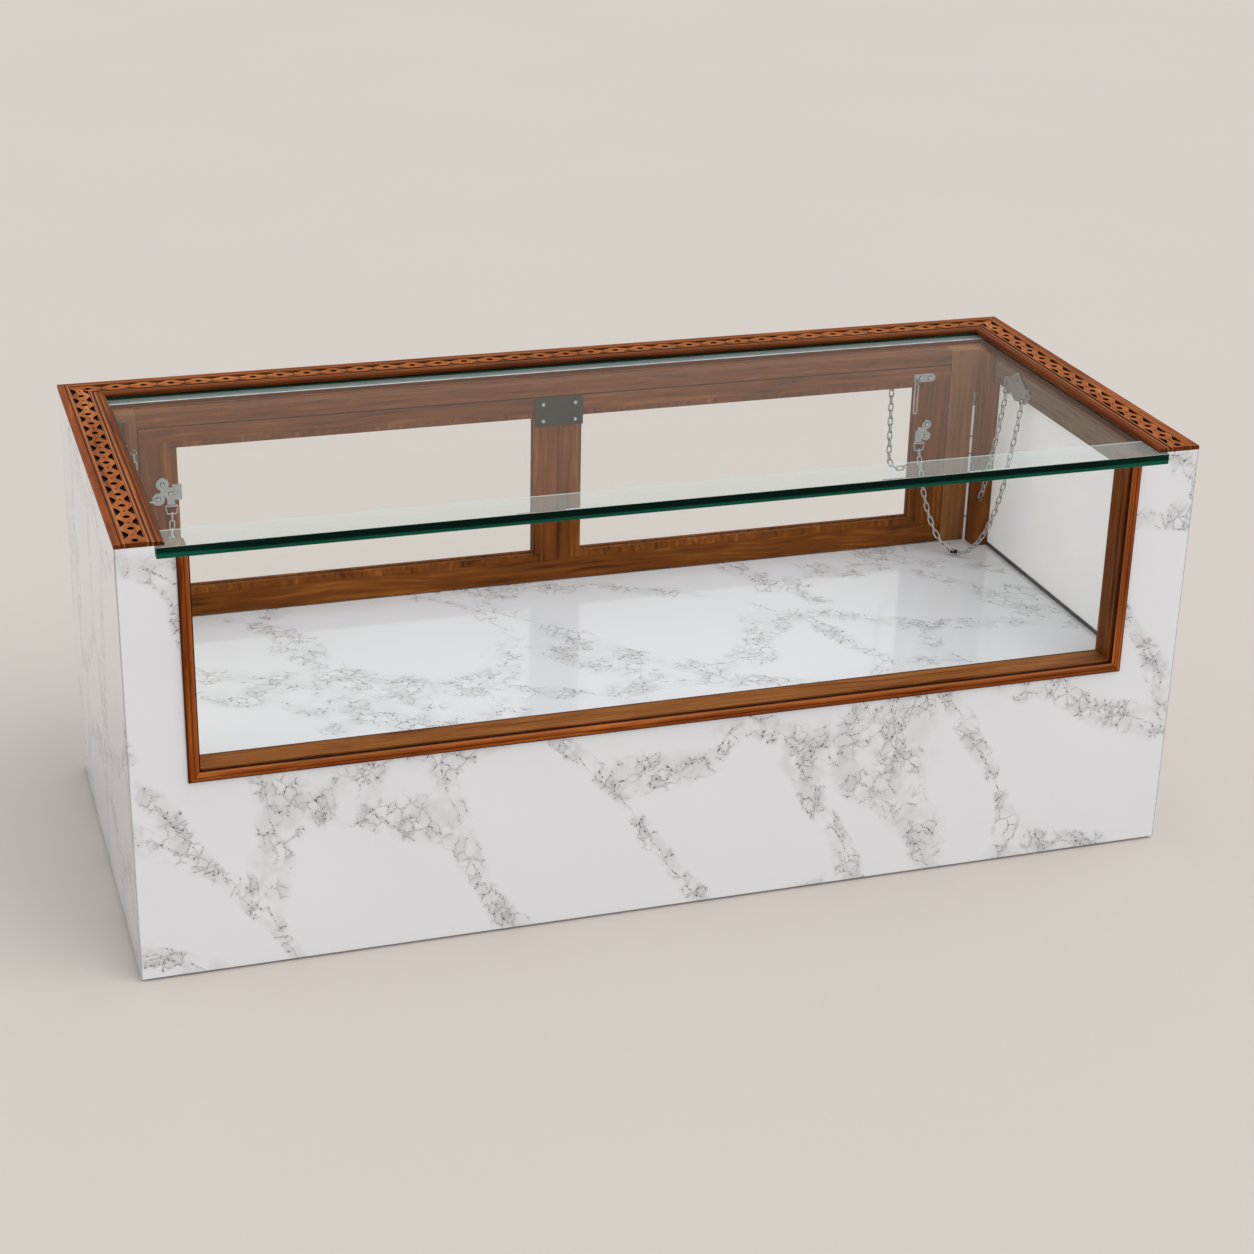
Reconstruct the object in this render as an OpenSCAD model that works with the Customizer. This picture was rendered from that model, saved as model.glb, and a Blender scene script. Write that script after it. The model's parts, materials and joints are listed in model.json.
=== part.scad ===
// Jewellery display counter
// A marble-clad case with a glass top in a pierced wooden border, a wood-framed front window,
// a raised marble deck and a glazed rear door that drops back on hinges, held by chain stays.
// Pieces are drawn from the case's front left floor corner: X to the right, Y to the rear, Z up.
// in_case() then moves them so that the origin is at the centre of the footprint, on the floor.

/* [Case] */
// Overall width over the marble
case_w = 1200; // [1120:10:1500]
// Overall depth over the marble
case_d = 526; // [500:1:640]
// Height of the marble walls above the floor
case_h = 492; // [470:1:560]
// Thickness of the marble cladding
marble_t = 12; // [8:1:16]
// Width of the joint between two marble slabs at a corner
marble_joint = 0.4; // [0.2:0.1:1]
// Thickness of the plywood side boards
side_board_t = 28; // [20:1:34]
// Thickness of the plywood base, front, rear, deck and divider boards
board_t = 18; // [12:1:22]
// Number of upright dividers under the deck
divider_count = 3; // [1:1:5]
// Height of the glides that carry the case
glide_h = 3; // [2:1:6]
// Diameter of one glide
glide_d = 36; // [20:1:60]

/* [Display deck] */
// Height of the display deck above the floor
deck_h = 228; // [180:1:250]
// Thickness of the deck slab
deck_t = 12; // [8:1:16]

/* [Front window] */
// From the left face of the case to the clear opening
window_left = 73; // [66:1:90]
// From the clear opening to the right face of the case
window_right = 84; // [66:1:100]
// How far the sill stands above the deck
sill_rise = 13.5; // [10:0.5:20]
// How far back the sill and the jambs reach from the marble face
frame_depth = 36; // [26:1:44]
// Thickness of the lip that the sill and the jambs carry over the cut edge of the marble
frame_lip = 5; // [3:0.5:7]
// Width of the bead moulding round the window
bead_w = 13; // [11:1:16]
// How far the bead stands out from the marble
bead_proud = 6; // [4:0.5:6]
// Width of the dark groove between the bead and the frame behind it
bead_groove = 3.5; // [2:0.5:6]

/* [Glass] */
// Thickness of the top glass
top_glass_t = 12; // [10:1:15]
// How far the top glass overhangs the front marble
glass_overhang = 6; // [6:0.5:10]
// How far the top glass runs under the border
glass_tuck = 9; // [6:1:14]
// Thickness of the tape that the top glass lies on
tape_t = 1; // [0.5:0.5:2]
// Thickness of the fixed front pane
front_glass_t = 6; // [4:1:8]
// Thickness of the two door panes
door_glass_t = 4; // [3:1:6]
// Clearance round every pane
glass_gap = 0.5; // [0.3:0.1:1]

/* [Top border] */
// Width of the border
border_w = 50; // [44:1:60]
// Height of the border's raised fillets above the marble
border_t = 5; // [4:0.5:8]
// Width of the plain outer strip
border_outer = 8; // [6:0.5:12]
// Width of a raised fillet
fillet_w = 3.5; // [2:0.5:4]
// Width of the pierced strip
fret_w = 22; // [18:1:24]
// Thickness of the pierced strip
fret_t = 2; // [1.5:0.5:3]
// Length of one repeat of the pierced pattern on the sides
side_fret_pitch = 33.4; // [28:0.1:44]
// Length of one repeat of the pierced pattern at the rear
rear_fret_pitch = 32.1; // [28:0.1:44]

/* [Side walls] */
// Thickness of the light lining panels
lining_t = 5; // [3:1:6]
// Thickness of the wall of the metal channel that holds a lining
channel_wall = 1; // [0.8:0.2:1.4]
// Height of that channel
channel_h = 5; // [4:1:10]
// Thickness of the wooden top rails of the side walls
side_rail_t = 14; // [10:1:18]
// Height of those top rails
side_rail_h = 34; // [30:1:44]
// Width of the square posts in the rear corners
corner_post_w = 26; // [18:1:32]

/* [Rear door] */
// From the rear marble face to the front face of the door
rear_wall_d = 96; // [88:1:120]
// Thickness of the door frame
door_t = 22; // [18:1:28]
// From the left face of the case to the door
door_left = 79; // [72:1:100]
// From the door to the right face of the case
door_right = 104; // [72:1:120]
// Height of the header over the door
header_h = 17; // [14:1:24]
// Depth of the header over the door
header_d = 26; // [22:1:34]
// Clearance round the door
door_gap = 1.5; // [1:0.1:2.5]
// Width of the outer stiles
stile_w = 35; // [30:1:50]
// Width of each of the two middle stiles
mid_stile_w = 22; // [18:1:30]
// From the left edge of the door to the joint of the two middle stiles
mid_joint = 501.5; // [440:0.5:540]
// Height of the door's top rail
top_rail_h = 18; // [16:1:26]
// Height of the door's bottom rail
bottom_rail_h = 27; // [20:1:36]
// Width of the glazing beads as seen from the front
glazing_w = 8; // [6:1:11]
// How far the top rail's tongue rises behind the header
tongue_h = 6; // [4:0.5:8]

/* [Hinges] */
// Length of one butt hinge
hinge_l = 60; // [40:2:80]
// Radius of the hinge knuckle
knuckle_r = 3; // [2.6:0.1:3.4]
// Thickness of a hinge leaf
leaf_t = 1.2; // [0.8:0.1:1.6]
// Height of a leaf, from the pin to its edge
leaf_w = 22; // [18:1:26]
// Radius of the hinge pin
hinge_pin_r = 1.2; // [0.9:0.1:1.5]
// Clearance between the pin and its bore
pin_clearance = 0.05; // [0.02:0.01:0.08]

/* [Chains] */
// Diameter of the chain wire
link_wire = 1.8; // [1.5:0.1:1.9]
// Outer length of a chain link
link_l = 13.4; // [13:0.1:14]
// Outer width of a chain link
link_w = 7.2; // [7:0.1:7.8]
// Number of links in the loose chain from the right wall plate to the corner post
spare_links = 16; // [16:2:18]
// Number of links in the locking chain on the back of the door
lock_links = 29; // [25:2:31]
// Number of links above the wire keeper on the left corner post
keeper_links = 4; // [3:1:6]
// Thickness of the plates that the chains hang from
plate_t = 2; // [1.2:0.2:2.6]
// Radius of the wire of the plate's eyes
eye_wire_r = 1; // [0.8:0.1:1.1]
// Radius of the wire of the end links
end_wire_r = 0.8; // [0.6:0.1:0.9]

/* [Mending plate] */
// Width of the mending plate over the middle stiles
mend_w = 60; // [50:1:70]
// Height of the mending plate
mend_h = 35; // [26:1:40]

/* [Light stick] */
// Diameter of the light stick in the right rear corner
light_d = 3.2; // [2:0.2:5]
// Length of the light stick, with its sleeve
light_l = 196; // [120:1:200]
// Length of the grey sleeve at its top
light_sleeve_l = 18; // [10:1:30]

/* [Hidden] */

wood = [0.50, 0.27, 0.12];
wood_light = [0.66, 0.38, 0.17];
marble = [0.90, 0.89, 0.88];
plywood = [0.72, 0.58, 0.40];
glass_tint = [0.75, 0.88, 0.84, 0.45];
steel = [0.62, 0.63, 0.62];
dark_steel = [0.33, 0.33, 0.31];
facets = 48;
eps = 0.01;

// Inner faces of the two side boards
inner_x0 = marble_t + side_board_t;
inner_x1 = case_w - inner_x0;
// Heights
glass_z0 = case_h - top_glass_t;
seat_z = glass_z0 - tape_t;
deck_z0 = deck_h - deck_t;
deck_board_z0 = deck_z0 - board_t;
base_top = glide_h + board_t;
slab_z0 = glide_h;
// Planes from front to rear
front_board_y1 = marble_t + board_t;
front_glass_y0 = frame_depth;
front_glass_y1 = front_glass_y0 + front_glass_t;
rear_y = case_d - rear_wall_d;
door_back = rear_y + door_t;
rear_inner = case_d - marble_t;
glass_y1 = case_d - border_w + glass_tuck;
// Window
win_x0 = window_left;
win_x1 = case_w - window_right;
sill_z = deck_h + sill_rise;
// Door outline and the opening that it fits
door_x0 = door_left;
door_x1 = case_w - door_right;
door_z0 = deck_h + door_gap;
header_z0 = seat_z - header_h;
door_z1 = header_z0 - door_gap;
door_h = door_z1 - door_z0;
opening_x0 = door_x0 - door_gap;
opening_x1 = door_x1 + door_gap;
joint_x = door_x0 + mid_joint;
// Hinges along the foot of the door
hinge_y = door_back + knuckle_r + 0.2;
hinge_z = deck_h + knuckle_r + 0.2;
hinge_margin = 90;
hinge_xs = [door_x0 + hinge_margin, (door_x0 + door_x1) / 2, door_x1 - hinge_margin];
knuckle_bore_r = hinge_pin_r + pin_clearance;
knuckle_gap = 0.3;
leaf_clear = knuckle_r + 0.4;
// Screws: every head and shank is the same
screw_head_r = 2.9;
screw_head_h = 1.1;
screw_r = 1.5;
screw_l = 9;
screw_fit = 0.05;
hinge_screw_inset = 10;
hinge_screw_h = 15;

// Chain links
link_play = 0.4;
link_pitch = link_l - 2 * link_wire - link_play;
link_r = link_wire / 2;
crown_lead = (link_l - link_wire - link_pitch) / 2;
// Plates: places on the door's front face and on the side rails, [x, z] or [y, z]
plate_left_at = [door_x0 + 27, door_z1 - 78.5];
plate_right_at = [door_x1 - 31, door_z1 - 83];
eye_plate_at = [door_x1 - 38, door_z1 - 13];
wall_plate_at = [rear_y - 90, seat_z - 24];
// Eyes are wire rings that stand out of a plate
eye_r = 3.2;
eye_out = plate_t + eye_r - 0.8;
wall_eye = [22, -10];
// A door plate's foot is rolled into a tube for the top bar of its end link
foot_left_x = 6;
foot_right_x = -7;
foot_y = -15;
foot_l = 9;
foot_r = 2;
foot_bore_r = end_wire_r + 0.25;
foot_out = link_w / 2 + 0.6;
end_link_top = 14;
end_link_foot = 11;
end_link_h = 10;
// Screw eyes in the corner posts
screw_eye_out = 5.4;
keeper_hook = [inner_x0 + corner_post_w, rear_y - 10, seat_z - 42];

module in_case() translate([-case_w / 2, -(case_d - glass_overhang) / 2, 0]) children();

// A block between two corners
module block(lo, hi) translate(lo) cube(hi - lo);

// A straight wire from p to q
module wire(p, q, r) {
    d = q - p;
    translate(p) rotate([0, acos(d[2] / norm(d)), atan2(d[1], d[0])])
        cylinder(h = norm(d), r = r, $fn = 24);
}

module ball(p, r) translate(p) sphere(r = r, $fn = 24);

module ring(major_r, wire_r) rotate_extrude($fn = facets)
    translate([major_r, 0]) circle(r = wire_r, $fn = 24);

// Turns a piece drawn in X and Y, with its face towards +Z, to stand on an upright surface
module on_door(at) translate([at[0], rear_y, at[1]]) rotate([90, 0, 0]) children();
module on_door_back(at) translate([at[0], door_back, at[1]]) rotate([90, 0, 180]) children();
module on_left_rail(at) translate([inner_x0 + side_rail_t, at[0], at[1]]) rotate([90, 0, 90]) children();
module on_right_rail(at) translate([inner_x1 - side_rail_t, at[0], at[1]]) rotate([90, 0, -90]) children();

// Screws
// A pan-head screw with its head on the plane Z = 0 and its shank below
module screw(shank = screw_l) {
    cylinder(h = screw_head_h, r1 = screw_head_r, r2 = screw_head_r * 0.72, $fn = 32);
    translate([0, 0, -shank]) cylinder(h = shank + eps, r = screw_r, $fn = 32);
}
module screw_hole(shank = screw_l) translate([0, 0, -shank - 0.5])
    cylinder(h = shank + 1, r = screw_r + screw_fit, $fn = 32);

// Floor glides
glide_inset = 65;
module glides() in_case() color("dimgray")
    for (x = [glide_inset, case_w / 2, case_w - glide_inset], y = [glide_inset, case_d - glide_inset])
        translate([x, y, 0]) cylinder(h = glide_h, d = glide_d, $fn = facets);

// Plywood carcass under and beside the display space
module base_board() in_case() color(plywood)
    block([marble_t, marble_t, glide_h], [case_w - marble_t, rear_inner, base_top]);

module side_board(x0) block([x0, marble_t, base_top], [x0 + side_board_t, rear_inner, case_h]);
module left_board() in_case() color(plywood) side_board(marble_t);
module right_board() in_case() color(plywood) side_board(inner_x1);

module front_board() in_case() color(plywood)
    block([inner_x0, marble_t, base_top], [inner_x1, front_board_y1, deck_z0]);

module rear_board() in_case() color(plywood)
    block([inner_x0, rear_inner - board_t, base_top], [inner_x1, rear_inner, deck_z0]);

module dividers() in_case() color(plywood) for (i = [1 : divider_count]) {
    x = inner_x0 + (inner_x1 - inner_x0) * i / (divider_count + 1) - board_t / 2;
    block([x, front_board_y1, base_top], [x + board_t, rear_inner - board_t, deck_board_z0]);
}

module deck_board() in_case() color(plywood)
    block([inner_x0, front_board_y1, deck_board_z0], [inner_x1, rear_inner - board_t, deck_z0]);

// Display deck: one slab that runs out under the door to the rear marble
module deck_slab() in_case() color(marble) difference() {
    block([inner_x0, marble_t, deck_z0], [inner_x1, rear_inner, deck_h]);
    hinge_deck_holes();
}

// Marble cladding, mitred at the four upright corners
// Plan of a slab along the front: a long trapezium with a joint's half width off each mitre
module front_plan() {
    j = marble_joint / 2;
    polygon([[j, 0], [case_w - j, 0], [case_w - marble_t - j, marble_t], [marble_t + j, marble_t]]);
}
module side_plan() {
    j = marble_joint / 2;
    polygon([[0, j], [marble_t, marble_t + j], [marble_t, case_d - marble_t - j], [0, case_d - j]]);
}

module front_marble() in_case() color(marble) difference() {
    translate([0, 0, slab_z0]) linear_extrude(case_h - slab_z0) front_plan();
    block([win_x0 - frame_lip, -1, sill_z - frame_lip], [win_x1 + frame_lip, marble_t + 1, case_h + 1]);
    block([inner_x0, -1, glass_z0 - glass_gap], [inner_x1, marble_t + 1, case_h + 1]);
}

module left_marble() in_case() color(marble)
    translate([0, 0, slab_z0]) linear_extrude(case_h - slab_z0) side_plan();
module right_marble() in_case() color(marble)
    translate([case_w, 0, slab_z0]) mirror([1, 0, 0]) linear_extrude(case_h - slab_z0) side_plan();

module rear_slab(z0, z1) translate([0, case_d, z0]) mirror([0, 1, 0]) linear_extrude(z1 - z0) front_plan();

module rear_marble_lower() in_case() color(marble) rear_slab(slab_z0, deck_h);
module rear_marble_head() in_case() color(marble) rear_slab(header_z0, case_h);
module rear_marble_left() in_case() color(marble) intersection() {
    rear_slab(deck_h, header_z0);
    block([0, rear_inner, deck_h], [opening_x0, case_d, header_z0]);
}
module rear_marble_right() in_case() color(marble) intersection() {
    rear_slab(deck_h, header_z0);
    block([opening_x1, rear_inner, deck_h], [case_w, case_d, header_z0]);
}

// Front window frame
// Section of the sill, in depth and height: a block on the deck with a lip over the marble's edge
module window_sill() in_case() color(wood) translate([win_x0, 0, 0])
    rotate([90, 0, 90]) linear_extrude(win_x1 - win_x0)
        polygon([[marble_t, deck_h], [frame_depth, deck_h], [frame_depth, sill_z], [bead_groove, sill_z],
            [bead_groove, sill_z - frame_lip + eps], [marble_t, sill_z - frame_lip + eps]]);

// A jamb from the side board at x = back to the clear opening at x = face
module jamb(back, face) {
    lip = face - sign(face - back) * (frame_lip - eps);
    translate([0, 0, deck_h]) linear_extrude(glass_z0 - glass_gap - deck_h)
        polygon([[back, marble_t], [back, frame_depth], [face, frame_depth], [face, marble_t]]);
    lip_z0 = sill_z - frame_lip + eps;
    translate([0, 0, lip_z0]) linear_extrude(glass_z0 - glass_gap - lip_z0)
        polygon([[face, marble_t], [face, bead_groove], [lip, bead_groove], [lip, marble_t]]);
}
module jamb_left() in_case() color(wood) jamb(inner_x0, win_x0);
module jamb_right() in_case() color(wood) jamb(inner_x1, win_x1);

// Section of the bead, from its outer edge inwards: a fillet, a half-round swell and a flat
function bead_section() = concat(
    [[0, 0], [0, bead_proud * 0.4], [bead_w * 0.14, bead_proud * 0.4]],
    [for (a = [0 : 20 : 180])
        [bead_w * (0.14 + 0.31 * (1 - cos(a))), bead_proud * (0.5 + 0.5 * sin(a))]],
    [[bead_w * 0.8, bead_proud * 0.5], [bead_w, bead_proud * 0.5], [bead_w, 0]]);
// A run of bead along +X with its outer edge on Y = 0, mitred where its start and end say so
module bead(length, mitre_start, mitre_end) difference() {
    rotate([90, 0, 90]) linear_extrude(length) polygon(bead_section());
    if (mitre_start) rotate([0, 0, 45]) translate([-eps, 0, -1])
        cube([2 * bead_w, 2 * bead_w, bead_proud + 2]);
    if (mitre_end) translate([length, 0, 0]) rotate([0, 0, -45]) translate([-2 * bead_w, 0, -1])
        cube([2 * bead_w + eps, 2 * bead_w, bead_proud + 2]);
}
bead_top = glass_z0 - glass_gap;
bead_foot = sill_z - bead_w;
module bead_bottom() in_case() color(wood_light) translate([win_x0 - bead_w, 0, bead_foot])
    rotate([90, 0, 0]) bead(win_x1 - win_x0 + 2 * bead_w, true, true);
module bead_left() in_case() color(wood_light) translate([win_x0 - bead_w, 0, bead_top])
    rotate([90, 90, 0]) bead(bead_top - bead_foot, false, true);
module bead_right() in_case() color(wood_light) translate([win_x1 + bead_w, 0, bead_foot])
    rotate([90, -90, 0]) bead(bead_top - bead_foot, true, false);

// Fixed glass
module front_glass() in_case() color(glass_tint)
    block([inner_x0 + glass_gap, front_glass_y0, deck_h],
        [inner_x1 - glass_gap, front_glass_y1, glass_z0 - glass_gap]);

module top_glass() in_case() color(glass_tint)
    block([inner_x0 + glass_gap, -glass_overhang, glass_z0], [inner_x1 - glass_gap, glass_y1, case_h]);

// Tape under the top glass, along the side rails and the rear header
tape_y0 = front_glass_y1 + glass_gap;
tape_y1 = rear_y + header_d;
module seat_tape() in_case() color("lightgray") {
    for (x = [inner_x0, inner_x1 - side_rail_t])
        block([x, tape_y0, seat_z], [x + side_rail_t, tape_y1, glass_z0]);
    block([inner_x0, tape_y1, seat_z], [inner_x1, glass_y1, glass_z0]);
}

// Side walls of the display space
corner_y = rear_y - corner_post_w;
rail_z0 = seat_z - side_rail_h;
module side_rail_left() in_case() color(wood) difference() {
    block([inner_x0, tape_y0, rail_z0], [inner_x0 + side_rail_t, corner_y, seat_z]);
    on_left_rail(wall_plate_at) wall_holes();
}
module side_rail_right() in_case() color(wood) difference() {
    block([inner_x1 - side_rail_t, tape_y0, rail_z0], [inner_x1, corner_y, seat_z]);
    on_right_rail(wall_plate_at) wall_holes();
}

// Light panels that stand in metal channels on the deck
module lining(x0) block([x0, tape_y0 + glass_gap, deck_h + channel_wall],
    [x0 + lining_t, corner_y - glass_gap, rail_z0 - glass_gap]);
module side_linings() in_case() color("gainsboro") {
    lining(inner_x0 + channel_wall);
    lining(inner_x1 - channel_wall - lining_t);
}

module channel(x0) difference() {
    block([x0, tape_y0, deck_h], [x0 + lining_t + 2 * channel_wall, corner_y, deck_h + channel_h]);
    block([x0 + channel_wall, tape_y0 - 1, deck_h + channel_wall],
        [x0 + channel_wall + lining_t, corner_y + 1, deck_h + channel_h + 1]);
}
module lining_channels() in_case() color("gray") {
    channel(inner_x0);
    channel(inner_x1 - lining_t - 2 * channel_wall);
}

module corner_post_left() in_case() color(wood) difference() {
    block([inner_x0, corner_y, deck_h], [inner_x0 + corner_post_w, rear_y, seat_z]);
    keeper_place() screw_eye_hole();
}
module corner_post_right() in_case() color(wood) difference() {
    block([inner_x1 - corner_post_w, corner_y, deck_h], [inner_x1, rear_y, seat_z]);
    spare_place() screw_eye_hole();
}

// Timber round the door recess
module rear_post_left() in_case() color(wood)
    block([inner_x0, rear_y, deck_h], [opening_x0, rear_inner, seat_z]);
module rear_post_right() in_case() color(wood) difference() {
    block([opening_x1, rear_y, deck_h], [inner_x1, rear_inner, seat_z]);
    for (z = light_clip_zs) clip_hole(z);
}

// The header is rebated at its lower rear edge for the door's tongue
header_y1 = rear_y + door_t / 2 - 1;
header_y2 = rear_y + header_d;
header_board_z0 = header_z0 + tongue_h + door_gap;
module rear_header() in_case() color(wood) translate([opening_x0, 0, 0])
    rotate([90, 0, 90]) linear_extrude(opening_x1 - opening_x0)
        polygon([[rear_y, header_z0], [header_y1, header_z0], [header_y1, header_board_z0],
            [header_y2, header_board_z0], [header_y2, seat_z], [rear_y, seat_z]]);
module rear_header_board() in_case() color("whitesmoke")
    block([opening_x0, header_y2, header_board_z0], [opening_x1, rear_inner, seat_z]);

module rear_packer() in_case() color(plywood)
    block([inner_x0, glass_y1 + glass_gap, seat_z], [inner_x1, rear_inner, case_h]);

// Top border: a moulded wooden frame on three sides, mitred at the rear corners
fret_x0 = border_outer + fillet_w;
fret_x1 = fret_x0 + fret_w;
recess_h = border_t - fret_t - 1.2;
fret_start = 4;
border_edge_r = border_t * 0.8;
inner_groove = 1;
// Section of the border from its outer edge inwards
function border_section() = let (
        flat = border_t - 0.6,
        inner = border_w - border_edge_r)
    concat(
        [[0, 0], [0, flat], [border_outer, flat], [border_outer, border_t], [fret_x0, border_t],
            [fret_x0, recess_h], [fret_x1, recess_h], [fret_x1, border_t], [fret_x1 + fillet_w, border_t],
            [fret_x1 + fillet_w, flat - inner_groove], [fret_x1 + fillet_w + inner_groove, flat]],
        [for (a = [90 : -15 : 0])
            [inner + border_edge_r * cos(a), flat - border_edge_r * (1 - sin(a))]],
        [[border_w, 0]]);
// A length of border along +Y, its outer edge on X = 0, with a bar across its near end and a
// mitre at its far end
module border_side(length) difference() {
    union() {
        translate([0, length, 0]) rotate([90, 0, 0]) linear_extrude(length) polygon(border_section());
        translate([fret_x0 - eps, 0, 0]) cube([fret_w + 2 * eps, fret_start, border_t]);
    }
    translate([0, length, -1]) rotate([0, 0, -45]) cube([2 * border_w, border_w, border_t + 2]);
}
module border_rear_bar() difference() {
    rotate([90, 0, 90]) linear_extrude(case_w) polygon([for (p = border_section()) [-p[0], p[1]]]);
    translate([0, 0, -1]) rotate([0, 0, -135]) cube([border_w, 2 * border_w, border_t + 2]);
    translate([case_w, 0, -1]) rotate([0, 0, -135]) cube([2 * border_w, border_w, border_t + 2]);
}
module border_left() in_case() color(wood_light) translate([0, 0, case_h]) border_side(case_d);
module border_right() in_case() color(wood_light) translate([case_w, 0, case_h])
    mirror([1, 0, 0]) border_side(case_d);
module border_rear() in_case() color(wood_light) translate([0, case_d, case_h]) border_rear_bar();

// Pierced strip: a pointed eye across the strip at each repeat, and between two eyes
// a pair of three-cornered openings with full sides and a small diamond
eye_half = 3.9;
eye_swell = 4.4;
corner_half = 11.5;
corner_depth = 5.8;
corner_side_in = 4.2;
corner_side_along = 7;
fret_rim = 1.3;
// Quadratic curve from a to c that bends towards b
function bend(a, b, c, steps) = [for (i = [0 : steps]) let (t = i / steps)
    a * pow(1 - t, 2) + b * 2 * t * (1 - t) + c * pow(t, 2)];
module fret_eye() polygon(concat(
    bend([-eye_half, 0], [0, 2 * eye_swell], [eye_half, 0], 6),
    bend([eye_half, 0], [0, -2 * eye_swell], [-eye_half, 0], 6)));
module fret_corner() translate([fret_w / 2 - fret_rim, 0]) polygon(concat(
    bend([0, -corner_half], [-corner_side_in, -corner_side_along], [-corner_depth, 0], 4),
    bend([-corner_depth, 0], [-corner_side_in, corner_side_along], [0, corner_half], 4)));
module fret_diamond() polygon([[-1.3, 0], [0, -2.2], [1.3, 0], [0, 2.2]]);
// The pattern along +Y, centred on X = 0, with an eye at first and at each repeat up to the length
module fret_pattern(length, first, pitch) {
    repeats = floor((length - first) / pitch);
    for (i = [0 : repeats]) translate([0, first + i * pitch]) fret_eye();
    for (i = [0 : repeats]) translate([0, first + (i + 0.5) * pitch]) {
        fret_corner();
        mirror([1, 0]) fret_corner();
        fret_diamond();
    }
}
fret_gap = 0.1;
fret_half = fret_w / 2 - fret_gap;
fret_mid = fret_x0 + fret_w / 2;
side_first = 10.7;
rear_first = 32.5;
// Pierced strips, mitred like the border: each is a trapezium with its long side outwards
module side_fret() translate([fret_mid, 0, case_h + recess_h]) linear_extrude(fret_t) difference() {
    mitre_y = case_d - fret_mid - fret_gap;
    polygon([[-fret_half, fret_start], [fret_half, fret_start],
        [fret_half, mitre_y - fret_half], [-fret_half, mitre_y + fret_half]]);
    fret_pattern(case_d - fret_x0, side_first, side_fret_pitch);
}
module side_frets() in_case() color(wood_light) {
    side_fret();
    translate([case_w, 0, 0]) mirror([1, 0, 0]) side_fret();
}
module fret_rear() in_case() color(wood_light) translate([0, case_d - fret_mid, case_h + recess_h])
    linear_extrude(fret_t) difference() {
        mitre_x0 = fret_mid + fret_gap;
        mitre_x1 = case_w - mitre_x0;
        polygon([[mitre_x0 + fret_half, -fret_half], [mitre_x1 - fret_half, -fret_half],
            [mitre_x1 + fret_half, fret_half], [mitre_x0 - fret_half, fret_half]]);
        rotate([0, 0, -90]) fret_pattern(case_w - fret_x0, rear_first, rear_fret_pitch);
    }

// Light stick in the corner between the right rear post and the corner post
light_x = inner_x1 - corner_post_w - light_d / 2 - 0.3;
light_y = rear_y - light_d / 2 - 0.3;
light_clip_zs = [deck_h + light_l * 0.17, deck_h + light_l * 0.58, deck_h + light_l * 0.7];
clip_pin_r = 0.5;
clip_pin_l = 5;
module clip_hole(z) translate([light_x - light_d, rear_y - eps, z]) rotate([-90, 0, 0])
    cylinder(h = clip_pin_l + 0.5, r = clip_pin_r + screw_fit, $fn = 24);
module light_stick() in_case() {
    color("white") translate([light_x, light_y, deck_h])
        cylinder(h = light_l - light_sleeve_l, d = light_d, $fn = 32);
    color("gray") translate([light_x, light_y, deck_h + light_l - light_sleeve_l])
        cylinder(h = light_sleeve_l, d = light_d + 0.4, $fn = 32);
    color("dimgray") for (z = light_clip_zs) difference() {
        union() {
            translate([light_x, light_y, z - 0.6]) cylinder(h = 1.2, d = light_d + 0.5, $fn = 32);
            translate([light_x - light_d, light_y, z - 0.6]) cube([light_d, light_d / 2, 1.2]);
            translate([light_x - light_d, light_y, z]) rotate([-90, 0, 0])
                cylinder(h = clip_pin_l + light_d / 2, r = clip_pin_r, $fn = 24);
        }
        translate([light_x, light_y, z - 1]) cylinder(h = 2, d = light_d, $fn = 32);
    }
}

// Chain plates
lobe_r = 7.5;
module eye(at) translate([at[0], at[1], eye_out]) rotate([0, 90, 0]) ring(eye_r, eye_wire_r);
module plate_holes(places) for (p = places) translate([p[0], p[1], 0]) screw_hole();
module plate_screws(places) for (p = places) translate([p[0], p[1], plate_t]) screw(screw_l + plate_t - 1);
module plate_bores(places) for (p = places) translate([p[0], p[1], -1])
    cylinder(h = plate_t + 2, r = screw_r + screw_fit, $fn = 32);
// The foot of a door plate, rolled forward into a tube that lies along X
module rolled_foot(x) {
    linear_extrude(plate_t) translate([x - foot_l / 2, foot_y]) square([foot_l, -foot_y]);
    translate([x - foot_l / 2, foot_y, 0]) cube([foot_l, foot_r, foot_out]);
    translate([x - foot_l / 2, foot_y, foot_out]) rotate([0, 90, 0])
        cylinder(h = foot_l, r = foot_r, $fn = facets);
}
module foot_bore(x) translate([x - foot_l, foot_y, foot_out]) rotate([0, 90, 0])
    cylinder(h = 2 * foot_l, r = foot_bore_r, $fn = facets);
// The left door plate: three screw lobes and a square tab, drawn round the plate's middle
lobes = [[-3, 11], [-8.5, -7], [6, -1]];
module trefoil_plate() difference() {
    union() {
        linear_extrude(plate_t) {
            for (p = lobes) translate(p) circle(r = lobe_r, $fn = facets);
            polygon(lobes);
            translate([8, -9]) square([11, 19]);
        }
        rolled_foot(foot_left_x);
    }
    plate_bores(lobes);
    foot_bore(foot_left_x);
}
// The right door plate is plain, with two screws, one above the other
small_lobes = [[3, 8], [3, -7]];
module small_plate() difference() {
    union() {
        linear_extrude(plate_t) {
            for (p = small_lobes) translate(p) circle(r = 6, $fn = facets);
            translate([-9, -9]) square([12, 14]);
        }
        rolled_foot(foot_right_x);
    }
    plate_bores(small_lobes);
    foot_bore(foot_right_x);
}
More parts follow.
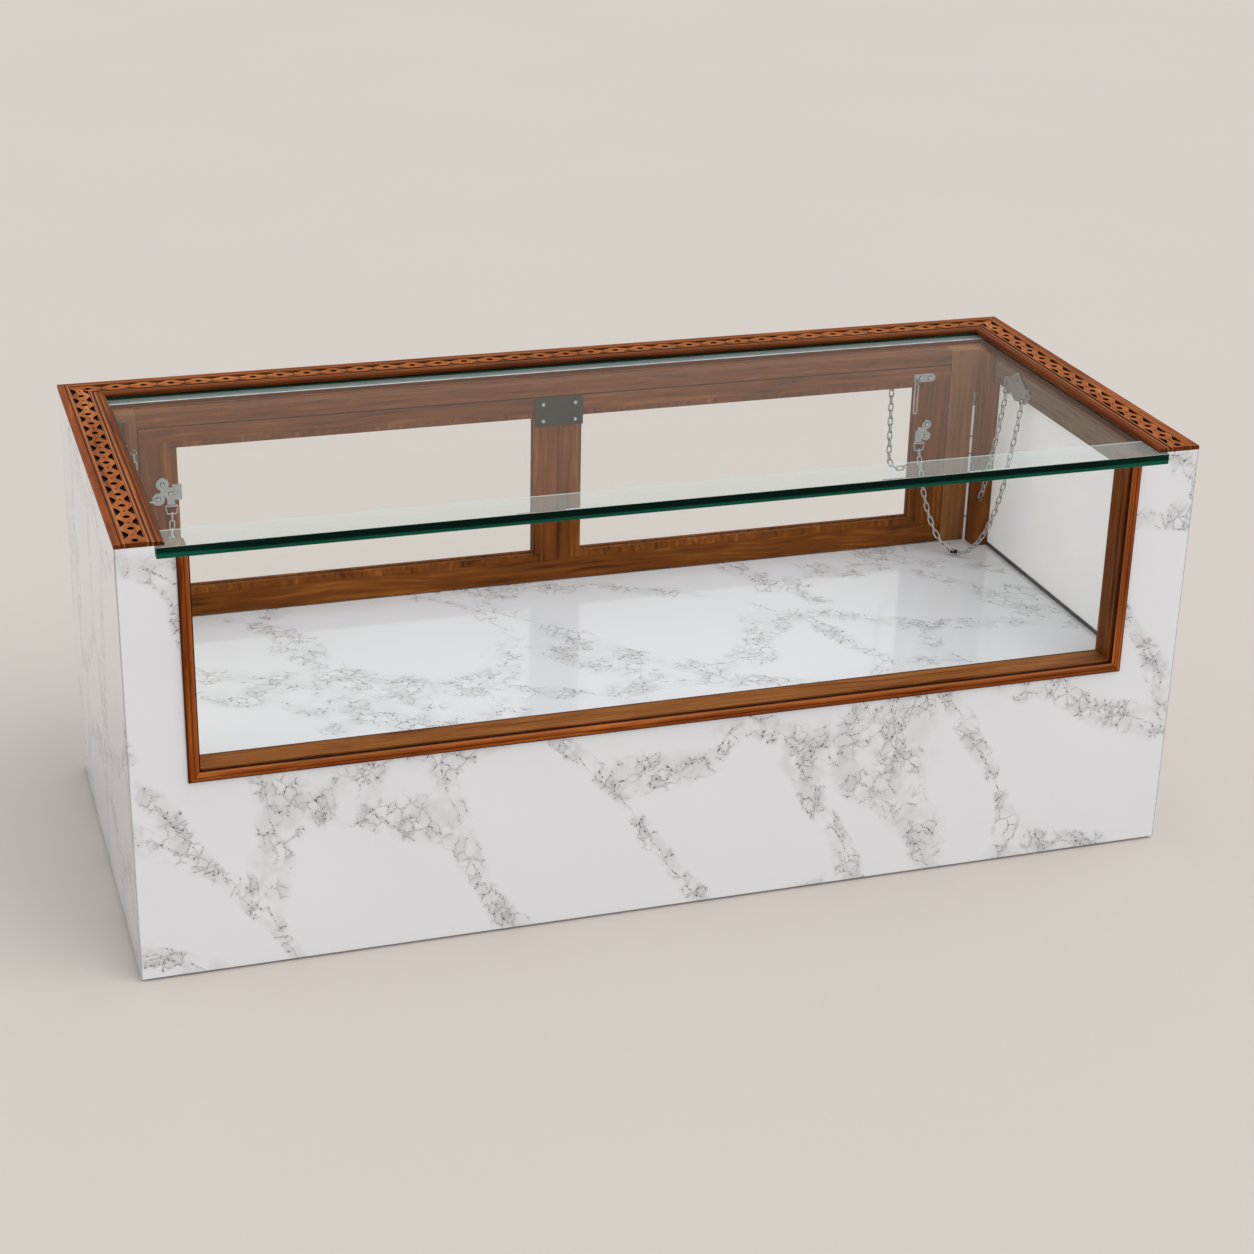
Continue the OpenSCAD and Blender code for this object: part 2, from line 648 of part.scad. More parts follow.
// The wall plates: a round middle between three screw lobes, with an eye near each end
wall_lobes = [[-28, -1], [0, 12], [28, -1]];
module wall_plate() {
    difference() {
        linear_extrude(plate_t) {
            for (p = wall_lobes) translate(p) circle(r = lobe_r, $fn = facets);
            circle(r = 16, $fn = facets);
            polygon([[-28, -8.5], [28, -8.5], [28, 4], [4, 19], [-4, 19], [-28, 4]]);
            for (s = [-1, 1]) translate([s * wall_eye[0] - 4, wall_eye[1] - 3]) square([8, 8]);
        }
        plate_bores(wall_lobes);
    }
    for (s = [-1, 1]) eye([s * wall_eye[0], wall_eye[1]]);
}
module wall_holes() plate_holes(wall_lobes);
// The eye plate near the top corner of the door, that the long hook link hangs from
eye_plate_lobes = [[-3, 0], [9, 0]];
link_eye = [-9, -4];
module eye_plate() {
    difference() {
        linear_extrude(plate_t) {
            translate([-12, -5]) square([24, 10]);
            translate([12, 0]) circle(r = 5, $fn = facets);
        }
        plate_bores(eye_plate_lobes);
    }
    eye(link_eye);
}

// The end link: a wire bent round four corners, wider at its top bar, which lies in a rolled foot
module end_link(x) translate([x, foot_y, foot_out]) {
    corners = [[-end_link_top / 2, 0, 0], [end_link_top / 2, 0, 0],
        [end_link_foot / 2, -end_link_h, 0], [-end_link_foot / 2, -end_link_h, 0]];
    for (i = [0 : 3]) {
        wire(corners[i], corners[(i + 1) % 4], end_wire_r);
        ball(corners[i], end_wire_r * 1.15);
    }
}

// A screw eye, drawn with its wall on Z = 0 and its ring in the plane X = 0
screw_eye_shank = 7;
module screw_eye() {
    translate([0, 0, screw_eye_out]) rotate([0, 90, 0]) ring(eye_r, eye_wire_r);
    translate([0, 0, -screw_eye_shank])
        cylinder(h = screw_eye_shank + screw_eye_out - eye_r, r = eye_wire_r, $fn = 24);
}
module screw_eye_hole() translate([0, 0, -screw_eye_shank - 0.5])
    cylinder(h = screw_eye_shank + 1, r = eye_wire_r + screw_fit, $fn = 24);
module spare_place() translate(spare_hook) rotate([90, 0, 0]) children();
module keeper_place() translate(keeper_hook) rotate([0, 90, 0]) rotate([0, 0, 90]) children();

// Chains
// One link, long in X, lying in the XY plane, centred on the origin
module chain_link() {
    bend_r = (link_w - link_wire) / 2;
    half = (link_l - link_w) / 2;
    for (s = [0, 180]) rotate([0, 0, s]) {
        translate([half, 0, 0]) rotate([0, 0, -90]) rotate_extrude(angle = 180, $fn = 32)
            translate([bend_r, 0]) circle(r = link_r, $fn = 16);
        translate([-half, bend_r, 0]) rotate([0, 90, 0]) cylinder(h = 2 * half, r = link_r, $fn = 16);
    }
}
function sinh(x) = (exp(x) - exp(-x)) / 2;
function cosh(x) = (exp(x) + exp(-x)) / 2;
function asinh(x) = ln(x + sqrt(x * x + 1));
// Halves the range of the catenary's scale a until 2 a sinh(d / 2a) is the wanted length
function catenary_scale(d, want, lo, hi, n) = let (mid = (lo + hi) / 2)
    n == 0 ? mid : 2 * mid * sinh(d / (2 * mid)) > want
        ? catenary_scale(d, want, mid, hi, n - 1) : catenary_scale(d, want, lo, mid, n - 1);
// Points, one pitch apart, on a chain of this many links that hangs from p to q.
// The arc length from the lowest point is a sinh(u), so equal steps of it are exact.
function hanging_chain(p, q, links) = let (
        flat = [q[0] - p[0], q[1] - p[1]],
        d = norm(flat),
        rise = q[2] - p[2],
        length = links * link_pitch,
        level = sqrt(length * length - rise * rise),
        a = catenary_scale(d, level, d / 60, d * 20, 60),
        low_u = asinh(rise / level) - d / (2 * a),
        s0 = a * sinh(low_u))
    [for (i = [0 : links]) let (
            u = asinh((s0 + i * link_pitch) / a),
            run = a * (u - low_u) / d)
        [p[0] + flat[0] * run, p[1] + flat[1] * run, p[2] + a * (cosh(u) - cosh(low_u))]];
// A link between each pair of points, every other one turned a quarter round its length. The chain
// also twists evenly from one roll to the other, so that its ends hang true in what holds them.
module chain(points, roll_start, roll_end) {
    last = len(points) - 2;
    for (i = [0 : last]) {
        d = points[i + 1] - points[i];
        roll = roll_start + (roll_end - roll_start) * i / last + (i % 2) * 90;
        translate((points[i] + points[i + 1]) / 2)
            rotate([0, acos(d[2] / norm(d)) - 90, atan2(d[1], d[0])]) rotate([roll, 0, 0]) chain_link();
    }
}
// The compass heading of a hanging chain, in degrees from the X axis
function heading(points) = let (d = points[len(points) - 1] - points[0]) atan2(d[1], d[0]);
// The roll nearest to a that leaves a link in the same plane as the roll b
function same_plane(a, b) = b + 180 * round((a - b) / 180);
// A stay starts in an end link's bar and ends in a wall eye, both of which lie along X
module stay(points) {
    start = heading(points);
    chain(points, start, same_plane(start, 90 - start));
}

// Where a chain's first or last link meets the bar of an end link, or an eye
bar_lift = link_r + end_wire_r + 0.05 - crown_lead;
eye_lift = link_r + eye_wire_r + 0.05 - crown_lead;
function door_bar(at, x) = [at[0] + x, rear_y - foot_out, at[1] + foot_y - end_link_h + bar_lift];
wall_eye_z = wall_plate_at[1] + wall_eye[1] - eye_r + eye_lift;
left_wall_eye = [inner_x0 + side_rail_t + eye_out, wall_plate_at[0] - wall_eye[0], wall_eye_z];
right_wall_eye = [inner_x1 - side_rail_t - eye_out, wall_plate_at[0] - wall_eye[0], wall_eye_z];
// A stay is this much longer than its two ends' heights over the deck, so that it hangs clear of
// the deck with the door shut and still lets the door drop flat. An even number of links turns
// its two end links alike.
stay_slack = 40;
function stay_links(p, q) = 2 * floor((p[2] + q[2] - 2 * deck_h + stay_slack) / (2 * link_pitch));
function stay_points(p, q) = hanging_chain(p, q, stay_links(p, q));
stay_left = stay_points(door_bar(plate_left_at, foot_left_x), left_wall_eye);
stay_right = stay_points(door_bar(plate_right_at, foot_right_x), right_wall_eye);
module stay_chain_left() in_case() color(steel) {
    stay(stay_left);
    on_door(plate_left_at) end_link(foot_left_x);
}
module stay_chain_right() in_case() color(steel) {
    stay(stay_right);
    on_door(plate_right_at) end_link(foot_right_x);
}

// Loose chains: on the right one from the wall plate's rear eye to the corner post, and on the left
// a short one on the corner post, with a bent wire keeper that hooks over the door plate
spare_top = right_wall_eye + [0, 2 * wall_eye[0], 0];
spare_hook_in = 24;
spare_run = [inner_x1 - spare_hook_in, corner_y - screw_eye_out] - [spare_top[0], spare_top[1]];
// The chain hangs almost straight: its ends are this share of its length apart
spare_reach = 0.998;
spare_drop = sqrt(pow(spare_reach * spare_links * link_pitch, 2) - pow(norm(spare_run), 2));
spare_foot = spare_top + [spare_run[0], spare_run[1], -spare_drop];
// Its last link leans in its eye, and needs this much more room there
hook_play = 0.25;
spare_hook = spare_foot + [0, screw_eye_out, eye_lift - eye_r + hook_play];
keeper_top = keeper_hook + [screw_eye_out, 0, -eye_r + eye_lift];
keeper_path = [[0, 0, 0], [7, 1, -14], [20, 3, -18], [23, 4.5, -15]];
module spare_chain() in_case() color(steel) {
    spare = hanging_chain(spare_top, spare_foot, spare_links);
    chain(spare, heading(spare), heading(spare));
}
module keeper_chain() in_case() color(steel) {
    chain([for (i = [0 : keeper_links]) keeper_top - [0, 0, i * link_pitch]], 0, 0);
    translate(keeper_top - [0, 0, keeper_links * link_pitch + eye_r - bar_lift]) {
        rotate([0, 90, (keeper_links % 2) * 90]) ring(eye_r, end_wire_r);
        translate([0, 0, -eye_r]) for (i = [0 : len(keeper_path) - 2]) {
            wire(keeper_path[i], keeper_path[i + 1], end_wire_r);
            ball(keeper_path[i], end_wire_r * 1.15);
        }
    }
}

module case_plates() in_case() color(steel) {
    on_left_rail(wall_plate_at) wall_plate();
    on_right_rail(wall_plate_at) wall_plate();
    spare_place() screw_eye();
    keeper_place() screw_eye();
}
module case_screws() in_case() color(steel) {
    on_left_rail(wall_plate_at) plate_screws(wall_lobes);
    on_right_rail(wall_plate_at) plate_screws(wall_lobes);
    hinge_deck_places() screw(screw_l);
}

// Hinges
module hinge_deck_places() for (x = hinge_xs, s = [-1, 1])
    translate([x + s * (hinge_l / 2 - hinge_screw_inset), hinge_y + hinge_screw_h, deck_h + leaf_t])
        children();
module hinge_deck_holes() hinge_deck_places() screw_hole();
module hinge_door_places() for (x = hinge_xs, s = [-1, 1])
    translate([x + s * (hinge_l / 2 - hinge_screw_inset), door_back + leaf_t, hinge_z + hinge_screw_h])
        rotate([-90, 0, 0]) children();
module knuckle(x0, x1) translate([x0, hinge_y, hinge_z]) rotate([0, 90, 0])
    cylinder(h = x1 - x0, r = knuckle_r, $fn = facets);
module pin_bore(x) translate([x - hinge_l / 2 - 1, hinge_y, hinge_z]) rotate([0, 90, 0])
    cylinder(h = hinge_l + 2, r = knuckle_bore_r, $fn = facets);
module hinge_leaves_case() in_case() color("goldenrod") difference() {
    for (x = hinge_xs) union() {
        block([x - hinge_l / 2, hinge_y + leaf_clear, deck_h],
            [x + hinge_l / 2, hinge_y + leaf_w, deck_h + leaf_t]);
        for (x0 = [x - hinge_l / 2, x + hinge_l / 6 + knuckle_gap / 2]) {
            x1 = x0 + hinge_l / 3 - knuckle_gap / 2;
            knuckle(x0, x1);
            block([x0, hinge_y, deck_h], [x1, hinge_y + leaf_clear + eps, deck_h + leaf_t]);
        }
    }
    for (x = hinge_xs) pin_bore(x);
    hinge_deck_holes();
}
module hinge_leaves_door() in_case() color("goldenrod") difference() {
    for (x = hinge_xs) union() {
        block([x - hinge_l / 2, door_back, hinge_z + leaf_clear],
            [x + hinge_l / 2, door_back + leaf_t, hinge_z + leaf_w]);
        knuckle(x - hinge_l / 6 + knuckle_gap / 2, x + hinge_l / 6 - knuckle_gap / 2);
        block([x - hinge_l / 6 + knuckle_gap / 2, door_back, hinge_z],
            [x + hinge_l / 6 - knuckle_gap / 2, door_back + leaf_t, hinge_z + leaf_clear + eps]);
    }
    for (x = hinge_xs) pin_bore(x);
    hinge_door_places() screw_hole();
}
module hinge_pins() in_case() color("gray") for (x = hinge_xs)
    translate([x - hinge_l / 2, hinge_y, hinge_z]) rotate([0, 90, 0])
        cylinder(h = hinge_l, r = hinge_pin_r, $fn = facets);

// Rear door
pane_z0 = door_z0 + bottom_rail_h + glazing_w;
pane_z1 = door_z1 - top_rail_h - glazing_w;
// Clear openings of the two frames: [left edge, right edge]
bays = [[door_x0 + stile_w, joint_x - mid_stile_w], [joint_x + mid_stile_w, door_x1 - stile_w]];
stile_z0 = door_z0 + bottom_rail_h;
stile_z1 = door_z1 - top_rail_h;
tongue_y0 = header_y1 + 0.3;
module door_rails() in_case() color(wood) difference() {
    union() {
        block([door_x0, rear_y, door_z0], [door_x1, door_back, stile_z0]);
        block([door_x0, rear_y, stile_z1], [door_x1, door_back, door_z1]);
        block([door_x0, tongue_y0, door_z1 - eps], [door_x1, door_back, door_z1 + tongue_h]);
    }
    hinge_door_places() screw_hole();
    on_door(eye_plate_at) plate_holes(eye_plate_lobes);
    mend_places() screw_hole();
    for (at = [lock_eye_left, lock_eye_right]) on_door_back(at) plate_holes(eye_plate_lobes);
}
// The outer stiles are plain; the two middle ones meet at a small groove
groove_w = 2.4;
module door_stiles() in_case() color(wood) difference() {
    for (x = [[door_x0, bays[0][0]], [bays[0][1], joint_x], [joint_x, bays[1][0]], [bays[1][1], door_x1]])
        block([x[0] + (x[0] == joint_x ? 0.1 : 0), rear_y, stile_z0],
            [x[1] - (x[1] == joint_x ? 0.1 : 0), door_back, stile_z1]);
    translate([joint_x, rear_y, stile_z0 - 1]) rotate([0, 0, 45]) translate([-groove_w / 2, -groove_w / 2, 0])
        cube([groove_w, groove_w, door_h]);
    hinge_door_places() screw_hole();
    on_door(plate_left_at) plate_holes(lobes);
    on_door(plate_right_at) plate_holes(small_lobes);
    mend_places() screw_hole();
}
// Glazing beads: a bevelled strip along each side of a pane, in front of it and behind it
pane_y = rear_y + (door_t - door_glass_t) / 2;
bead_clear = 0.2;
module glazing_bead(length) rotate([90, 0, 90]) linear_extrude(length)
    polygon([[bead_clear, 0], [pane_y - rear_y - bead_clear, 0], [pane_y - rear_y - bead_clear, glazing_w],
        [bead_clear + 3, glazing_w]]);
module bead_frame(x0, x1) {
    w = x1 - x0;
    h = stile_z1 - stile_z0;
    translate([x0, 0, stile_z0]) glazing_bead(w);
    translate([x1, 0, stile_z1]) rotate([0, 180, 0]) glazing_bead(w);
    translate([x0, 0, stile_z1 - glazing_w]) rotate([0, 90, 0]) glazing_bead(h - 2 * glazing_w);
    translate([x1, 0, stile_z0 + glazing_w]) rotate([0, -90, 0]) glazing_bead(h - 2 * glazing_w);
}
module door_beads() in_case() color(wood) for (b = bays) {
    translate([0, rear_y, 0]) bead_frame(b[0], b[1]);
    translate([0, door_back, 0]) mirror([0, 1, 0]) bead_frame(b[0], b[1]);
}
module door_panes() in_case() color(glass_tint) for (b = bays)
    block([b[0] + glass_gap, pane_y, stile_z0 + glass_gap],
        [b[1] - glass_gap, pane_y + door_glass_t, stile_z1 - glass_gap]);

// Steel plate that mends the joint of the middle stiles and the top rail
mend_z1 = door_z1 - 0.5;
mend_inset = [10, 7];
module mend_places() for (x = [-1, 1], z = [mend_inset[1], mend_h - mend_inset[1]])
    translate([joint_x + x * (mend_w / 2 - mend_inset[0]), rear_y - plate_t, mend_z1 - z])
        rotate([90, 0, 0]) children();
module mending_plate() in_case() color(dark_steel) difference() {
    block([joint_x - mend_w / 2, rear_y - plate_t, mend_z1 - mend_h], [joint_x + mend_w / 2, rear_y, mend_z1]);
    mend_places() screw_hole();
}

// Plates and eyes on both faces of the door
lock_eye_left = [door_x1 - 77, door_z1 - 9];
lock_eye_right = [door_x1 - 37, door_z1 - 9];
module door_plates() in_case() color(steel) {
    on_door(plate_left_at) trefoil_plate();
    on_door(plate_right_at) small_plate();
    on_door(eye_plate_at) eye_plate();
    for (at = [lock_eye_left, lock_eye_right]) on_door_back(at) eye_plate();
}
module door_screws() in_case() color(steel) {
    on_door(plate_left_at) plate_screws(lobes);
    on_door(plate_right_at) plate_screws(small_lobes);
    on_door(eye_plate_at) plate_screws(eye_plate_lobes);
    for (at = [lock_eye_left, lock_eye_right]) on_door_back(at) plate_screws(eye_plate_lobes);
    mend_places() screw(screw_l);
    hinge_door_places() screw(screw_l);
}

// Long wire link that hangs from the eye plate in front of the door
hook_l = 42;
hook_w = 6;
module hook_link() in_case() color(steel) on_door(eye_plate_at)
    translate([link_eye[0], link_eye[1] - eye_r + eye_wire_r + end_wire_r + 0.05, eye_out]) {
        r = hook_w / 2 - end_wire_r;
        for (z = [0, 1]) translate([0, -r - z * (hook_l - hook_w), 0]) rotate([0, 0, z * 180])
            rotate_extrude(angle = 180, $fn = 32) translate([r, 0]) circle(r = end_wire_r, $fn = 16);
        for (s = [-1, 1]) wire([s * r, -r + eps, 0], [s * r, -r - hook_l + hook_w - eps, 0], end_wire_r);
    }

// Locking chain: a loop that hangs from two eyes on the back of the door
lock_bend_r = 17;
// Points, one pitch apart, down a straight leg from p, round a half circle and up a leg to q
function looped_chain(p, q, links, r) = let (
        half = (q[0] - p[0]) / 2,
        leg = (links * link_pitch - PI * r) / 2,
        drop = sqrt(leg * leg - pow(half - r, 2)))
    [for (i = [0 : links]) let (
            s = min(i, links - i) * link_pitch,
            side = i <= links / 2 ? -1 : 1,
            turn = max(0, s - leg) / r * 180 / PI,
            out = s < leg ? half - (half - r) * s / leg : r * cos(turn),
            down = s < leg ? drop * s / leg : drop + r * sin(turn))
        p + [half + side * out, 0, -down]];
function back_eye(at) = [at[0] - link_eye[0], door_back + eye_out, at[1] + link_eye[1] - eye_r + eye_lift];
module lock_chain() in_case() color(steel)
    chain(looped_chain(back_eye(lock_eye_left), back_eye(lock_eye_right), lock_links, lock_bend_r), 90, 90);

glides();
base_board();
left_board();
right_board();
front_board();
rear_board();
dividers();
deck_board();
deck_slab();
front_marble();
left_marble();
right_marble();
rear_marble_lower();
rear_marble_left();
rear_marble_right();
rear_marble_head();
window_sill();
jamb_left();
jamb_right();
bead_left();
bead_bottom();
bead_right();
front_glass();
top_glass();
seat_tape();
side_rail_left();
side_rail_right();
side_linings();
lining_channels();
corner_post_left();
corner_post_right();
rear_post_left();
rear_post_right();
rear_header();
rear_header_board();
rear_packer();
border_left();
border_rear();
border_right();
side_frets();
fret_rear();
light_stick();
case_plates();
case_screws();
hinge_leaves_case();
hinge_pins();
stay_chain_left();
stay_chain_right();
spare_chain();
keeper_chain();
door_rails();
door_stiles();
door_beads();
door_panes();
mending_plate();
door_plates();
door_screws();
hinge_leaves_door();
hook_link();
lock_chain();
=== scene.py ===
# %% [markdown]
# # Jewellery display counter
# A low case clad in white marble. A thick green-edged glass lies on top in a pierced wooden border,
# the front has a window framed in wood, and the rear is a glazed door on chains.
# The imported model holds every board, slab and fitting at its real size. This script gives them
# their finishes, rounds their edges, and rebuilds the two stay chains.

import functools
import json
import math

import bmesh
import bpy
import numpy as np
from mathutils import Matrix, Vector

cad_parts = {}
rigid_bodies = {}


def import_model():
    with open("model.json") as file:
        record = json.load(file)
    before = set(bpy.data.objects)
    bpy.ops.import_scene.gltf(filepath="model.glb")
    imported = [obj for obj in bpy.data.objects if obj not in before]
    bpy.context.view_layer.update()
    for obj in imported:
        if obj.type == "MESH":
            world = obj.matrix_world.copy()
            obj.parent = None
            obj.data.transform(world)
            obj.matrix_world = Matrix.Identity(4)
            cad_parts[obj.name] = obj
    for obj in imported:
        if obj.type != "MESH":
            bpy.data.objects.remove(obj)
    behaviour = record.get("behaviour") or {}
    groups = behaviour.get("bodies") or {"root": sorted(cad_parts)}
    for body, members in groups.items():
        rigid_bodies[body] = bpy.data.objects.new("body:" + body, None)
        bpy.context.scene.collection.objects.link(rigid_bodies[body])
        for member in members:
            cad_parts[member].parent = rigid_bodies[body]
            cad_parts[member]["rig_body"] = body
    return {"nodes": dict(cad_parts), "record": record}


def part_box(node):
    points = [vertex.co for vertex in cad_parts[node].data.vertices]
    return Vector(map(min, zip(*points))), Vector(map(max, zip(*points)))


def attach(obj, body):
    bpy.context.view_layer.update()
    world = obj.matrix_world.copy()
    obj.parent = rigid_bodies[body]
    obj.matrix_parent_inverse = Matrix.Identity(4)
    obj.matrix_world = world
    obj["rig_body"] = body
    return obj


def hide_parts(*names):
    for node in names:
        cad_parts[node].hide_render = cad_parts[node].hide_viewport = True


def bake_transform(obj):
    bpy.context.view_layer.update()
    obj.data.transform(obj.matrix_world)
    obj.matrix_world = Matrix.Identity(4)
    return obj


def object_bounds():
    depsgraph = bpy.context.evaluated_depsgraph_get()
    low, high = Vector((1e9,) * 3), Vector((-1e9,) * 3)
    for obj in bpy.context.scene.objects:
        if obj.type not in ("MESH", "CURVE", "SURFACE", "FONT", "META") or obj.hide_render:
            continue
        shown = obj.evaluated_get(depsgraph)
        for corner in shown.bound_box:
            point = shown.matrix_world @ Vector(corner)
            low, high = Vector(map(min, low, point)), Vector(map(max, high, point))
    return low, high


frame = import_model()
nodes = frame["nodes"]
slot_of = {part["node"]: part["material_slot"] for part in frame["record"]["subparts"]}
cad_box = [list(map(float, corner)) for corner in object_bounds()]
print("the counter's box in metres:", cad_box)

# %% [markdown]
# The camera stands a little to the left of the case and looks down on it. Its place was worked
# out from the case's straight edges, with the case 1.2 m wide.

# %% Camera
camera_place = (-0.82499, -2.53449, 1.38897)
yaw, pitch, roll = (math.radians(angle) for angle in (-18.3802, 66.5694, 1.36))
camera_data = bpy.data.cameras.new("camera")
camera_data.sensor_width = 36.0
camera_data.lens = 70.57
camera = bpy.data.objects.new("camera", camera_data)
camera.matrix_world = (Matrix.Translation(camera_place) @ Matrix.Rotation(yaw, 4, "Z")
                       @ Matrix.Rotation(pitch, 4, "X") @ Matrix.Rotation(roll, 4, "Z"))
bpy.context.scene.collection.objects.link(camera)
bpy.context.scene.camera = camera
print("the camera is", round(math.dist(camera_place, (0, 0, 0)), 2), "m from the case's foot")

# %% [markdown]
# Materials are written as sums. A `Value` wraps the output socket of a shader node, and
# arithmetic on it adds the Math node that works it out, so `1 - mask * 0.5` reads as it stands.


# %% Arithmetic on sockets
class Value:
    """What an output socket gives at each point of a surface, and the shader that it is in."""

    def __init__(self, shader, socket):
        self.shader = shader
        self.socket = socket

    def math(self, operation, first, second):
        """The result of one Math node; first and second are values or plain numbers."""
        return self.shader.node("ShaderNodeMath", {"operation": operation}, {0: first, 1: second})

    def __add__(self, other):
        return self.math("ADD", self, other)

    def __radd__(self, other):
        return self.math("ADD", other, self)

    def __sub__(self, other):
        return self.math("SUBTRACT", self, other)

    def __rsub__(self, other):
        return self.math("SUBTRACT", other, self)

    def __mul__(self, other):
        return self.math("MULTIPLY", self, other)

    def __rmul__(self, other):
        return self.math("MULTIPLY", other, self)

    def larger(self, other):
        """The larger of the two."""
        return self.math("MAXIMUM", self, other)

    def size(self):
        """The value without its sign."""
        return self.math("ABSOLUTE", self, 0.0)

    def step(self, low, high):
        """0 below low and 1 above high, with a smooth rise between; low may be the larger."""
        return self.shader.node(
            "ShaderNodeMapRange", {"interpolation_type": "SMOOTHSTEP"},
            {"Value": self, "From Min": low, "From Max": high})


def most(shares):
    """The largest of several values, at each point of the surface."""
    return functools.reduce(Value.larger, shares)


print("a Value can be added to, taken from and multiplied")

# %% [markdown]
# A `Shader` is one material while it is being made. `node` adds any node: first its settings,
# then what its sockets hold. The other methods name the few patterns that this object needs.


# %% A material being made
class Shader:
    """A node material. Patterns are laid out in the piece's own coordinates, in metres."""

    def __init__(self, name):
        self.material = bpy.data.materials.new(name)
        self.material.use_nodes = True
        self.tree = self.material.node_tree
        self.tree.nodes.clear()

    def feed(self, socket, value):
        """Links a Value to the socket, and writes a plain number, colour or vector on it."""
        if isinstance(value, Value):
            self.tree.links.new(value.socket, socket)
        else:
            socket.default_value = value

    def node(self, kind, settings=None, sockets=None, output=0):
        """Adds a node of any kind and gives back one of its outputs."""
        node = self.tree.nodes.new(kind)
        for key, value in (settings or {}).items():
            setattr(node, key, value)
        for key, value in (sockets or {}).items():
            self.feed(node.inputs[key], value)
        return Value(self, node.outputs[output])

    def place(self, scale=(1, 1, 1), turn=(0, 0, 0), shift=(0, 0, 0)):
        """Object coordinates, scaled, turned and moved. A higher scale makes a finer pattern."""
        point = self.node("ShaderNodeTexCoord", output="Object")
        return self.node("ShaderNodeMapping", None, {
            "Vector": point, "Location": shift, "Scale": scale,
            "Rotation": tuple(math.radians(angle) for angle in turn)})

    def facing(self, axis):
        """How far the surface looks along an axis of the piece itself, -1 to 1."""
        return self.axis(self.node("ShaderNodeTexCoord", output="Normal"), axis)

    def scaled(self, vector, by):
        """The vector times three factors, one for each axis."""
        return self.node("ShaderNodeVectorMath", {"operation": "MULTIPLY"}, {0: vector, 1: by})

    def axis(self, vector, index):
        """One of the vector's numbers: 0, 1 or 2 for X, Y or Z."""
        return self.node("ShaderNodeSeparateXYZ", None, {0: vector}, output=index)

    def noise(self, vector, scale, detail=3.0, roughness=0.5, output=0):
        """A cloudy pattern about 0.5. Its second output is a noise for each axis."""
        return self.node("ShaderNodeTexNoise", None, {
            "Vector": vector, "Scale": scale, "Detail": detail, "Roughness": roughness},
            output=output)

    def warp(self, vector, scale, amount, detail=3.0):
        """The vector, pushed about by a noise by up to about half the amount."""
        push = self.noise(vector, scale, detail, output=1)
        centred = self.node("ShaderNodeVectorMath", {"operation": "SUBTRACT"},
                            {0: push, 1: (0.5, 0.5, 0.5)})
        return self.node("ShaderNodeVectorMath", {"operation": "MULTIPLY_ADD"},
                         {0: centred, 1: (amount, amount, amount), 2: vector})

    def cells(self, vector, scale, feature="DISTANCE_TO_EDGE", output=0):
        """Cells like cracked mud: how far a point is from its cell's edge, or, with the feature
        F1 and the output Color, three random numbers for each cell."""
        return self.node("ShaderNodeTexVoronoi", {"feature": feature},
                         {"Vector": vector, "Scale": scale}, output=output)

    def mix(self, share, first, second):
        """The first colour where the share is 0, the second where it is 1."""
        return self.node("ShaderNodeMix", {"data_type": "RGBA"}, {0: share, 6: first, 7: second},
                         output=2)

    def bump(self, height, distance):
        """A relief that is the height times the distance, in metres, deep."""
        return self.node("ShaderNodeBump", None, {"Height": height, "Distance": distance})

    def principled(self, **sockets):
        """A surface. base_color=... feeds its socket Base Color, and so on."""
        names = {key.replace("_", " ").title().replace("Ior", "IOR"): value
                 for key, value in sockets.items()}
        return self.node("ShaderNodeBsdfPrincipled", None, names)

    def blend(self, share, first, second):
        """The first surface where the share is 0, the second where it is 1."""
        return self.node("ShaderNodeMixShader", None, {0: share, 1: first, 2: second})

    def done(self, surface):
        """Ends the material with its surface and gives it back."""
        output = self.tree.nodes.new("ShaderNodeOutputMaterial")
        self.tree.links.new(surface.socket, output.inputs["Surface"])
        return self.material


print("a Shader lays its patterns out in metres")


# %% Colours
def rgb(red, green, blue):
    """An sRGB colour in 0 to 255, as the linear colour that a shader needs."""
    srgb = np.array([red, green, blue]) / 255
    linear = np.where(srgb <= 0.04045, srgb / 12.92, ((srgb + 0.055) / 1.055) ** 2.4)
    return (*linear.tolist(), 1.0)


print("a middle grey is", round(rgb(128, 128, 128)[0], 3), "in linear light")

# %% [markdown]
# The marble is white with a net of fine grey veins. On the real slabs the veins gather in bands
# that run down to the right, and between two bands the stone is almost bare. An image of marble
# would repeat and have one fixed scale, so the pattern is worked out. Large cells, bent by two
# noises, give the bands along their edges. Small cells give the net inside the bands: some of
# them are filled with a pale grey, and the veins between them carry dark specks.

# %% Where the marble is grey
band_cells = 6.8
net_cells = 66.0


